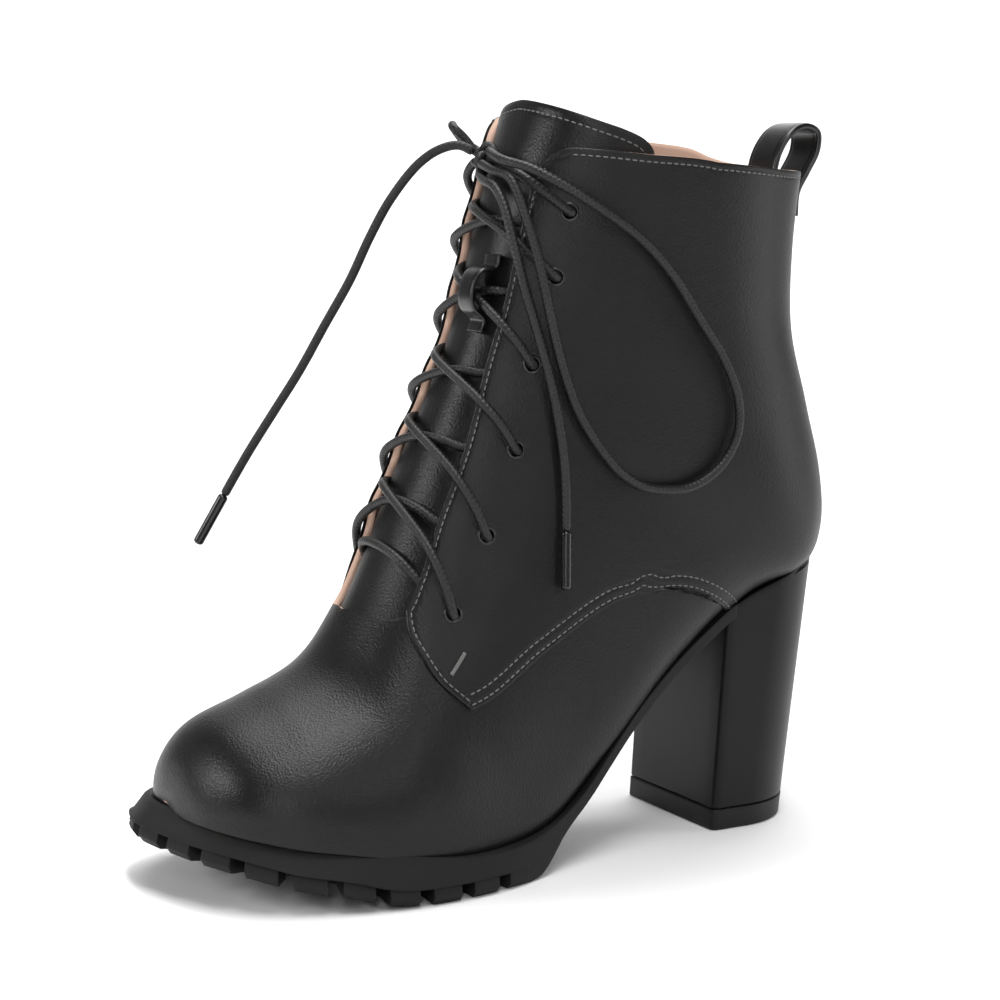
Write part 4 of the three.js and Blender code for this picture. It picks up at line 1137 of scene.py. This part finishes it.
LUG_PITCH = 14
LUG_GAP = 4.6
LUG_LENGTH = 12
MOAT = 4
TREAD_START = 0.4 * LENGTH

outer_rim = np.column_stack([RIM[:, 0] * LENGTH, RIM[:, 1] * BALL])
inner_rim = np.column_stack([RIM[:, 0] * LENGTH, -RIM[:, 2] * BALL])[::-1]
rim_rows = np.vstack([outer_rim, [(RIM_TIP[0] * LENGTH, RIM_TIP[1] * BALL)], inner_rim])
rim_dense = catmull(rim_rows, np.linspace(0, len(rim_rows) - 1, 40 * (len(rim_rows) - 1) + 1))
rim_length = lengths(rim_dense)
rim_share = np.linspace(0, 1, len(rim_dense))
rim_tangent = unit(np.gradient(rim_dense, axis=0))
rim_outward = np.column_stack([-rim_tangent[:, 1], rim_tangent[:, 0]])
print("length of the rim in mm:", round(rim_length[-1]))


def rim_at(share, grow):
    """Plan points of the rim at shares of its curve, set outwards."""
    share = np.asarray(share, float)
    place_at = between(rim_share, rim_dense, share)
    out = unit(between(rim_share, rim_outward, share))
    return place_at + out * np.asarray(grow)[..., None], out


def flare_at(x):
    """How far the side leans out above the floor: nothing in the arch, all of it at the toe."""
    return FLARE * np.clip((x - TREAD_START) / (0.2 * LENGTH), 0, 1)


def side_profile(share, heights):
    """Points of the sole's side at shares of its height, outwards along the rim: leaning out to the floor
    with a chamfer under it, and rolled over at the top."""
    plan, _ = rim_at(share, np.zeros_like(share))
    x = plan[..., 0]
    chamfer = flare_at(x) - CHAMFER * np.clip((x - TREAD_START) / SOLE, 0, 1)
    lean = flare_at(x)
    levels = np.array([0, 0.16, 0.45, 0.9, 0.97, 1.0])
    toe = TOE_LEAN * np.clip((x - TREAD_START) / (0.3 * LENGTH), 0, 1)
    grows = np.stack([chamfer + toe, lean + toe, lean * 0.9 + toe * 0.5, lean * 0.1 - toe * 0.6,
                      -toe - RIM_ROLL[0], -toe - RIM_ROLL[1]], 0)
    made = []
    for height in heights:
        k = np.clip(np.searchsorted(levels, height, side="right") - 1, 0, len(levels) - 2)
        u = (height - levels[k]) / (levels[k + 1] - levels[k])
        grow = grows[k] * (1 - u) + grows[k + 1] * u
        place_at, _ = rim_at(share, grow)
        low, high = sole_bottom(place_at[..., 0]), sole_top(place_at[..., 0])
        made.append(np.concatenate([place_at, (low + (high - low) * height)[..., None]], -1))
    return np.stack(made)


# %% Make the sole's base
STEP_X = TREAD_START + LUG_LENGTH / 2
RISING = 170        # so many of the half rim's points, in which x only grows
half_share = np.linspace(0, 0.5, 190)
x_here = rim_at(half_share, 0 * half_share)[0][:, 0]
steps = np.interp([STEP_X - 0.05, STEP_X + 0.05], x_here[:RISING], half_share[:RISING])
half_share = np.sort(np.concatenate([half_share, steps]))
TOP_LEVELS = [0.45, 0.6, 0.75, 0.9, 0.94, 0.97, 0.985, 1.0]


def base_loops(share):
    """Closed rings across the base at each share: up the outer side, over the top, down the inner side and
    back under."""
    loops = []
    for s in (share, 1 - share):
        sides = side_profile(s, TOP_LEVELS)
        cut = np.where(sides[0][:, 0] > STEP_X, LUG_HEIGHT, 0.0)
        foot = side_profile(s, [0.0, 0.16, 0.3])
        low = sole_bottom(foot[..., 0]) + cut
        foot[..., 2] = np.maximum(foot[..., 2], low)
        loops.append(np.concatenate([foot, sides], 0))
    outer, inner = loops
    span = np.linspace(0, 1, 9)[1:-1, None, None]
    over = outer[-1] + (inner[-1] - outer[-1]) * span
    over[..., 2] = sole_top(over[..., 0]) - 0.4
    under = inner[0] + (outer[0] - inner[0]) * span
    under[..., 2] = sole_bottom(under[..., 0]) + np.where(under[..., 0] > STEP_X, LUG_HEIGHT, 0)
    ring = np.concatenate([outer, over, inner[::-1], under, outer[:1]], 0)
    return np.moveaxis(ring, 0, 1)


rings_of_base = base_loops(half_share)
base_grid = grid(rings_of_base, outward=rings_of_base - rings_of_base.mean(1, keepdims=True))
breast_ring = rings_of_base[0]
cap = np.stack([breast_ring, np.broadcast_to(breast_ring.mean(0), breast_ring.shape)])
base_cap = grid(cap, outward=np.broadcast_to([-1.0, 0, 0], cap.shape))


def block(loops):
    """A closed solid from rings of points, its first and last ring drawn together to a point."""
    first = np.broadcast_to(loops[0].mean(0), loops[0].shape)
    final = np.broadcast_to(loops[-1].mean(0), loops[-1].shape)
    full = np.concatenate([first[None], loops, final[None]])
    return grid(full, outward=full - full.reshape(-1, 3).mean(0))


# %% Make the blocks round the edge and the bars across the middle
lug_grids = []
notches = np.arange(LUG_PITCH / 2, rim_length[-1], LUG_PITCH)
notch_x = rim_at(np.interp(notches, rim_length, rim_share), 0 * notches)[0][:, 0]
notches = notches[notch_x > TREAD_START + LUG_GAP]
starts = np.concatenate([[np.interp(STEP_X, x_here[:RISING], half_share[:RISING])],
                         np.interp(notches + LUG_GAP / 2, rim_length, rim_share)])
stops = np.concatenate([np.interp(notches - LUG_GAP / 2, rim_length, rim_share), [1 - starts[0]]])
for start, stop in zip(starts, stops):
    s = np.linspace(start, stop, 9)
    face = side_profile(s, [0.0, 0.16, 0.45])
    cut = sole_bottom(face[..., 0]) + LUG_HEIGHT + LUG_ROOT
    face[..., 2] = np.minimum(face[..., 2], cut)
    face[-1, :, 2] = cut[-1]
    plan, _ = rim_at(s, np.full_like(s, -LUG_LENGTH))
    foot = np.column_stack([plan, sole_bottom(plan[:, 0])])
    head = foot + [0, 0, LUG_HEIGHT + LUG_ROOT]
    ring = np.stack([face[0], face[1], face[2], head, foot, face[0]], 1)
    lug_grids.append(block(ring))

for first_x in np.arange(TREAD_START + LUG_PITCH, RIM_TIP[0] * LENGTH - LUG_LENGTH - MOAT, LUG_PITCH):
    x = np.linspace(first_x + LUG_GAP / 2, first_x + LUG_PITCH - LUG_GAP / 2, 5)
    inset = rim_at(rim_share, np.full_like(rim_share, -(LUG_LENGTH + MOAT)))[0]
    half = len(inset) // 2
    outer_y = np.interp(x, inset[:half, 0], inset[:half, 1])
    inner_y = np.interp(x, inset[::-1][:half, 0], inset[::-1][:half, 1])
    if (outer_y - inner_y).min() < 4:
        continue
    y = np.linspace(0, 1, 5)[None] * (outer_y - inner_y)[:, None] + inner_y[:, None]
    low = np.dstack(np.broadcast_arrays(x[:, None], y, sole_bottom(x)[:, None]))
    high = low[:, ::-1] + [0, 0, LUG_HEIGHT + LUG_ROOT]
    ring = np.concatenate([low, high, low[:, :1]], 1)
    lug_grids.append(block(ring))

sole_piece = new_piece("lugged_sole", joined([base_grid, base_cap] + lug_grids), [sole_rubber], merge=0.002)
round_edges(sole_piece, 0.35, 2, 38)
place(sole_piece, "sole_rubber", "outsole")

# %% [markdown]
# ## The heel and its top lift
#
# A block heel is a plastic moulding with leather drawn round it. Seen from below it is a D: a flat breast in
# front, straight sides and an elliptical back. The D grows and leans a little from the floor to the seat, and
# its top follows the seat's slope. A loft between curves would do, but rings at shares of the height give the
# slanted top in one line.

# %% Make the heel
HEEL_FOOT_LENGTH = 40
HEEL_FOOT_WIDTH = 52.6
HEEL_FRONT = 0.46 * HEEL_FOOT_LENGTH
BREAST_TOP = 0.056 * LENGTH
SEAT_BACK = -0.139 * LENGTH
SEAT_WIDTH = 0.59 * BALL
LIFT = 7
GAP = 0.3
CORNER = 2.2


def heel_plan(z, inset=0.0, steps=40):
    """The D at each height: half an ellipse behind, straight sides and rounded front corners."""
    z = np.asarray(z, float)
    share = z / HEEL
    front = HEEL_FRONT + (BREAST_TOP - HEEL_FRONT) * share - inset
    back_x = HEEL_FRONT - HEEL_FOOT_LENGTH + (SEAT_BACK - (HEEL_FRONT - HEEL_FOOT_LENGTH)) * share + inset
    half = (HEEL_FOOT_WIDTH + (SEAT_WIDTH - HEEL_FOOT_WIDTH) * share) / 2 - inset
    angle = np.linspace(0, math.pi / 2, steps)
    corner = np.linspace(0, math.pi / 2, 7)
    turn_x = back_x + half
    xs = [front - CORNER * (1 - np.cos(a)) for a in corner]
    ys = [half - CORNER * (1 - np.sin(a)) for a in corner]
    for t in np.linspace(0, 1, 8)[1:-1]:
        xs.append((front - CORNER) * (1 - t) + turn_x * t)
        ys.append(half)
    for a in angle:
        xs.append(turn_x - half * np.sin(a))
        ys.append(half * np.cos(a))
    x, y = np.stack(xs, -1), np.stack(ys, -1)
    x = np.concatenate([x, x[..., -2::-1]], -1)
    y = np.concatenate([y, -y[..., -2::-1]], -1)
    breast = np.linspace(-1, 1, 9)[1:-1]
    flat = np.broadcast_to(front[..., None], (*front.shape, len(breast)))
    x = np.concatenate([x, flat, x[..., :1]], -1)
    y = np.concatenate([y, (half[..., None] - CORNER) * breast, y[..., :1]], -1)
    return x, y


def capped(rings):
    """Rings of a closed form with its two ends filled in to their middles, with a ring near each edge."""
    def end(ring):
        middle = ring.mean(0)
        return [middle + (ring - middle) * s for s in (0.0, 0.5, 0.9, 0.97)]

    full = np.stack(end(rings[0]) + list(rings) + end(rings[-1])[::-1])
    return grid(full, outward=full - full.reshape(-1, 3).mean(0))


levels = np.linspace(0, 1, 40)
foot_z = LIFT + GAP
z = foot_z + levels * (HEEL - foot_z)
for _ in range(4):
    x, y = heel_plan(z if np.ndim(z) == 1 else z.mean(1))
    top = sole_top(x) - 0.25
    z = foot_z + levels[:, None] * (top - foot_z)
heel_rings = np.dstack([x, y, z])
heel_piece = new_piece("covered_heel", capped(heel_rings), [heel_cover], merge=0.002)
round_edges(heel_piece, 0.5, 3, 40)
place(heel_piece, "heel_cover", "heel")

lift_z = np.array([0.0, 0.35, 1.2, LIFT - 1.0, LIFT - 0.35, LIFT])
lift_inset = np.array([0.35, 0.0, 0.0, 0.0, 0.0, 0.3])
x, y = heel_plan(lift_z, lift_inset - 0.15)
lift_rings = np.dstack([x, y, np.broadcast_to(lift_z[:, None], x.shape)])
lift_piece = new_piece("top_lift_block", capped(lift_rings), [lift_rubber], merge=0.002)
place(lift_piece, "sole_rubber", "top_lift")

# %% [markdown]
# ## The sock, the tongue, the keeper and the pull loop
#
# The sock is the soft sheet the foot stands on. The tongue is a long leather tab sewn in at the foot of the
# throat; its top edge is folded and stitched and stands above the collar. On its ridge a narrow keeper holds
# the laces. The pull loop is a folded strap. All are strips of leather, so they are carried along a line or
# laid on the last with a rounded rim.

# %% Make the sock
SOCK = 2.0
SOCK_TOP = 2.8      # over the sole
SOCK_INSET = 5      # from the face of the upper
sock_sections = np.linspace(0.8, 11.2, 90)
low_turn = turn_at_sole(sock_sections, 2.9)
rims = last(sock_sections, low_turn), last(sock_sections, -low_turn)
sock_middle = (rims[0] + rims[1]) / 2
sock_half = np.linalg.norm(rims[0] - rims[1], axis=1)[:, None] / 2
half_line = [sock_middle + (rim - sock_middle) * np.clip(1 - SOCK_INSET / sock_half, 0.05, 1) for rim in rims]
span = np.linspace(0, 1, 25)[None, :, None]
sock_top = half_line[0][:, None] * (1 - span) + half_line[1][:, None] * span
sock_top[..., 2] = sole_top(sock_top[..., 0]) + SOCK_TOP - 0.8 * (2 * span[..., 0] - 1) ** 6
sock_up = np.broadcast_to([0, 0, 1.0], sock_top.shape)
sock = new_piece("sock", grid(sock_top, outward=sock_up), [lining])
thicken(sock, SOCK)
round_edges(sock, 0.4, 2, 50)
place(sock, "lining", "insole")

# %% Make the tongue
TONGUE_BACK = [(5.8, 0.72), (7.41, 0.657), (9.76, 0.682), (11.73, 0.711), (13.91, 0.68), (15.4, 0.62),
               (16.1, 0.59)]
TONGUE_TOP = [(16.1, 0.59), (16.42, 0.592), (16.6, 0.616), (16.68, 0.662), (16.74, 0.74), (16.87, 0.862),
              (17.02, 1)]
TONGUE_ROOT = 5.3
TONGUE_FACE = -(WALL + GAP)
TONGUE_THICK = 2.4
TONGUE_SWELL = 0.0375
TONGUE_ROW = 3.2        # stitch row from the top edge
rows, half_columns = 150, 40
side_line = drawn(TONGUE_BACK, rows)
ridge_line = np.column_stack([np.linspace(TONGUE_ROOT, TONGUE_TOP[-1][0], rows), np.ones(rows)])
root_line = np.stack([np.linspace(side_line[0][k], ridge_line[0][k], half_columns) for k in (0, 1)], 1)
top_line = drawn(TONGUE_TOP, half_columns)
half_tongue = patch(root_line, top_line, side_line, ridge_line)


def inner_half(line):
    """A line of the tongue's outer half on its inner one, which is narrower towards the top."""
    narrow = 1 - 0.27 * np.clip((line[..., 0] - 11) / 5, 0, 1)
    return np.stack([line[..., 0], -(1 - (1 - line[..., 1]) * narrow)], -1)


other_half = inner_half(half_tongue)
tongue_section = np.concatenate([half_tongue[..., 0], other_half[:, -2::-1, 0]], 1)
tongue_turn = np.concatenate([half_tongue[..., 1], other_half[:, -2::-1, 1]], 1)
tongue_flat = last(tongue_section, tongue_turn)
top_gap = nearest(tongue_flat, np.concatenate([
    last(*line.T) for line in (top_line, inner_half(top_line))
]))
swell = np.sin(np.pi * np.clip((tongue_section - 6) / 11, 0, 1)) * np.cos(6 * tongue_section)
tongue_height = TONGUE_FACE + TONGUE_SWELL * swell - STRIP_DIP * bell(top_gap - TONGUE_ROW, 0.5)
tongue_height = tongue_height - 0.3 * np.exp(-top_gap / 0.5)
tongue_points = off_last(tongue_section, tongue_turn, tongue_height)
tongue_out = last_normal(tongue_section, tongue_turn)
tongue_piece = new_piece("tongue_panel", grid(tongue_points, outward=tongue_out),
                         [vamp_leather, lining, edge_leather])
thicken(tongue_piece, TONGUE_THICK, (1, 2))
round_edges(tongue_piece, 0.6, 3, 50)
place(tongue_piece, "leather", "tongue")

tongue_rows = []
for side in SIDES:
    row = set_in(resampled(top_line if side > 0 else inner_half(top_line)), TONGUE_ROW * side)
    points = off_last(*row.T, TONGUE_FACE - 0.1)
    length = lengths(points)
    at = np.arange(2, length[-1], STITCH_PITCH)
    spot = between(length, points, at)
    out = last_normal(*between(length, row, at).T)
    tongue_rows.append(stitch_lumps(spot, unit(np.gradient(spot, axis=0)), out))
place(new_piece("tongue_stitches", joined(tongue_rows), [thread], merge=0.0005), "leather")

# %% Make the keeper and the pull loop
KEEPER_WIDTH = 9
KEEPER_TURN = 0.945
KEEPER = 1.3
PULL_WIDTH = 16
PULL_RISE = 17       # over the collar
PULL_REACH = 15.5    # back from the lining
STRAP = 2.2


def strap(line, width, thickness, steps):
    """A strap along a side view line of (x, z) points: a rounded oblong carried along it, across the boot."""
    smooth = smooth_path(np.column_stack([line[:, 0], np.zeros(len(line)), line[:, 1]]), 0.5)
    tangent = unit(np.gradient(smooth, axis=0))
    out = np.column_stack([-tangent[:, 2], np.zeros(len(smooth)), tangent[:, 0]])
    across_share = np.linspace(-1, 1, steps)
    rounding = np.sqrt(np.clip(1 - np.abs(across_share) ** 14, 0, 1))
    from_edge = 1 - np.abs(across_share)
    edge_bead = 0.10 * bell(from_edge, 0.10)
    groove = -0.14 * bell(from_edge - 0.22, 0.05)
    half = thickness / 2 * rounding * (1 + edge_bead) + groove
    y = across_share * width / 2
    y = np.concatenate([y, y[::-1], y[:1]])
    height = np.concatenate([half, -half[::-1], half[:1]])
    points = smooth[:, None] + out[:, None] * height[None, :, None] + np.array([0, 1.0, 0]) * y[None, :, None]
    centre = np.concatenate([smooth[:1], smooth, smooth[-1:]])[:, None]
    ends = [np.broadcast_to(smooth[k], points[0].shape)[None] for k in (0, -1)]
    full = np.concatenate([ends[0], points, ends[1]])
    return grid(full, outward=full - centre)


keeper_seat = TONGUE_FACE + KEEPER / 2
keeper_over = LACE + 1.9
keeper_rows = [(11.35, keeper_seat), (11.62, keeper_seat), (11.78, keeper_over * 0.6), (12, keeper_over),
               (12.5, keeper_over), (12.7, keeper_over * 0.6), (12.86, keeper_seat), (13.15, keeper_seat)]
keeper_line = np.array([off_last(at, KEEPER_TURN, height)[[0, 2]] for at, height in keeper_rows])
keeper_piece = new_piece("keeper_strap", strap(keeper_line, KEEPER_WIDTH, KEEPER, 25), [edge_leather])
keeper_piece.data.transform(Matrix.Translation((0, last(12.2, KEEPER_TURN)[1] * METRES, 0)))
place(keeper_piece, "leather", "lace_keeper")

collar_back = last(COLLAR_BACK, 0.0)
pull_sections = np.array([COLLAR_BACK, COLLAR_BACK - 0.6])
beside = last(pull_sections, turn_beside(pull_sections, np.full(2, PULL_WIDTH / 2)))
inside_x = beside[:, 0].max() + WALL + 2 * GAP + STRAP / 2
outside_x = collar_back[0] - STEP - 2 * GAP - STRAP / 2
# leg it is measured from, shares of the reach back and of the rise over the collar
PULL_ROWS = [(inside_x, 0, -0.82), (inside_x, 0, -0.12), (inside_x, 0.14, 0.38), (inside_x, 0.48, 0.78),
             (inside_x, 0.86, 0.9), (inside_x, 1.16, 0.78), (inside_x, 1.16, 0.42), (outside_x, 0.3, 0),
             (outside_x, 0.04, -0.41), (outside_x, 0, -0.88)]
leg, reach, climb = np.array(PULL_ROWS).T
pull_line = np.column_stack([leg - PULL_REACH * reach, collar_back[2] + PULL_RISE * climb])
pull_piece = new_piece("pull_strap", strap(pull_line, PULL_WIDTH, STRAP, 41), [edge_leather])
place(pull_piece, "webbing", "pull_loop")

# %% [markdown]
# ## Lacing the boot
#
# One lace runs through all twelve eyelets. It lies inside as a bar at the bottom, comes out of both lowest
# holes, and each side passes over its own facing edge, crosses the other, dives under the opposite facing
# and comes out of the next hole. It is laid as two smooth paths of points set on the last's own lines, at
# heights over or under the facings, so it truly goes through the holes.

# %% Lace it
OVER = STEP + LACE / 2 + 0.45
RESTING = TONGUE_FACE + LACE / 2 + 0.1
BENEATH = -(WALL + LACE / 2 + 0.2)


def out_of_hole(row, side):
    """Up through an eyelet from below."""
    at, hole_turn = EYELETS[row]
    return [
        (at, side * (hole_turn - 0.010), -WALL * 0.7),
        (at, side * hole_turn, STEP * 0.6),
    ]


# shares of the way to the next hole at which a lace passes its own edge, the ridge and the other edge
CLIMB = {1: (0.26, 0.56, 0.86), -1: (0.2, 0.42, 0.62)}


def hop(row, side):
    """From one eyelet over its facing's edge, across the tongue and under the opposite facing. The lace from
    the outer side lies on top where the two cross."""
    at, hole_turn = EYELETS[row]
    ahead, next_turn = EYELETS[row + 1]
    own, ridge, other = at + (ahead - at) * np.array(CLIMB[side])
    edge, far_edge = FACING_EDGES[side][row], FACING_EDGES[-side][row + 1]
    on_ridge = RESTING + LACE - 0.3 if side > 0 else RESTING
    return [
        (at + 0.45 * (own - at), side * (0.6 * hole_turn + 0.4 * edge), OVER - 0.1),
        (own, side * edge, OVER - 0.1),
        (ridge, side * 1.0, on_ridge),
        (0.45 * ridge + 0.55 * other, -side * (1 + (far_edge - 1) * 0.6), RESTING + 0.1),
        (other, -side * (far_edge - 0.004), (RESTING + BENEATH) / 2),
        (0.4 * other + 0.6 * ahead, -side * (far_edge * 0.4 + next_turn * 0.6), BENEATH),
    ]


def lace_path(side):
    """Points of one half of the lace, from the middle of the bar to the knot."""
    first, hole_turn = EYELETS[0]
    edge = FACING_EDGES[side][0]
    rows = [
        (first - 0.25, side * 1.0, RESTING),
        (first - 0.22, side * (1 + (edge - 1) * 0.6), RESTING),
        (first - 0.1, side * (edge * 0.5 + hole_turn * 0.5), BENEATH),
    ]
    for row in range(len(EYELETS)):
        rows += out_of_hole(row, side)
        if row + 1 < len(EYELETS):
            rows += hop(row, side)
            side = -side
    section, turn, height = np.array(rows).T
    return off_last(section, turn, height), side


lace_halves = []
for start_side in SIDES:
    points, end_side = lace_path(start_side)
    top = EYELETS[-1]
    over_edge = off_last(top[0] + 0.3, end_side * FACING_EDGES[end_side][-1], OVER)
    middle = (over_edge + KNOT) / 2 + np.array([1.0, 0, 1.5])
    points = np.vstack([points, over_edge, middle, KNOT + [0, 1.2 * end_side, 0]])
    lace_halves.append(points)
whole = np.vstack([lace_halves[1][::-1], lace_halves[0][1:]])
lace_line = smooth_path(whole, 0.7)
lace_piece = new_piece("lace_through_eyelets", cord_tube(lace_line, LACE, sides=12), [braid])
crossings = [f"lace_crossing_{row + 1}" for row in range(len(EYELETS) - 1)]
place(lace_piece, "lace", "lace_bar", *crossings)
print("lace through the eyelets is", round(lengths(lace_line)[-1]), "mm long")

# %% Tie the knot
t = np.linspace(0, 2 * math.pi, 200)
trefoil = np.column_stack([
    np.sin(t) + 2 * np.sin(2 * t), np.cos(t) - 2 * np.cos(2 * t), -1.3 * np.sin(3 * t),
]) * 1.5
lean = Matrix.Rotation(math.radians(55), 3, "Y") @ Matrix.Rotation(math.radians(20), 3, "X")
knot_line = trefoil @ np.array(lean).T + KNOT
knot_piece = new_piece("bow_knot", tube(knot_line, LACE / 2 * 0.95, 14), [braid])
place(knot_piece, "lace", "lace_knot")

# %% [markdown]
# ## The floor and the light
#
# Products are shot on a pale sweep with large soft lights, so that black leather shows long soft highlights
# and little else. A plain bright world would turn black leather grey, so the world is dim, and wide area
# lights above and beside the boot make the highlights on the toe, the facing and the heel.

# %% Light it
def backdrop():
    """A pale sweep: a flat floor that curves up behind the boot, as one grid."""
    far, curve, height = 3.2, 1.2, 4.0
    floor = np.linspace(-3.0, far - curve, 12)
    bend = np.linspace(0, math.pi / 2, 16)[1:]
    wall = np.linspace(curve, height, 6)[1:]
    depth = np.concatenate([floor, far - curve + curve * np.sin(bend), np.full(len(wall), far)])
    rise_z = np.concatenate([np.zeros(len(floor)), curve * (1 - np.cos(bend)), wall])
    away = -np.array([back[0], back[1], 0]) / math.hypot(back[0], back[1])
    side = np.array([-away[1], away[0], 0])
    wide = np.linspace(-6, 6, 12)
    points = (depth[:, None, None] * away + wide[None, :, None] * side
              + rise_z[:, None, None] * np.array([0, 0, 1.0])) / METRES
    return grid(points, outward=np.broadcast_to([0, 0, 1.0], points.shape) - away * 0.5)


paper = Finish("paper_sweep", Roughness=0.9)
paper.set(Base_Color=paper.blend(paper.noise(900, 1), (0.93, 0.93, 0.93, 1), (0.95, 0.95, 0.95, 1)))
sweep = new_piece("sweep", backdrop(), [paper])
sweep.data.transform(Matrix.Translation((0, 0, -0.0002)))


def softbox(name, at, aim, size, power):
    """A rectangular area light in metres that faces a point."""
    data = bpy.data.lights.new(name, "AREA")
    data.shape = "RECTANGLE"
    data.size, data.size_y = size
    data.energy = power
    lamp = bpy.data.objects.new(name, data)
    at, aim = Vector(at), Vector(aim)
    lamp.location = at
    lamp.rotation_mode = "QUATERNION"
    lamp.rotation_quaternion = (at - aim).to_track_quat("Z", "Y")
    bpy.context.scene.collection.objects.link(lamp)


# name, place, aim, size and watts
SOFTBOXES = [
    ("box_above", (0.18, 0.22, 1.3), (0.12, 0, 0.05), (0.22, 1.1), 14),
    ("box_front", (1.2, -0.3, 0.55), (0.16, -0.01, 0.08), (0.35, 0.35), 6),
    ("box_facing", (0.74, 1.0, 0.5), (0.09, 0.02, 0.13), (0.16, 0.8), 3.6),
    ("box_near", (-0.14, 1.1, 0.62), (0.1, 0.02, 0.08), (0.2, 0.35), 2.2),
    ("box_back", (-1.1, 0.55, 0.18), (0, 0, 0.12), (0.3, 1.0), 5),
    ("box_sweep", (-0.9, -1.2, 2.2), (-0.9, -2.4, 0.3), (3.0, 1.6), 90),
]
for row in SOFTBOXES:
    softbox(*row)
print(len(SOFTBOXES), "lights")

world = bpy.data.worlds.new("studio")
world.use_nodes = True
world.node_tree.nodes["Background"].inputs["Color"].default_value = (1, 1, 1, 1)
world.node_tree.nodes["Background"].inputs["Strength"].default_value = 0.05
bpy.context.scene.world = world
bpy.context.scene.view_settings.view_transform = "Standard"
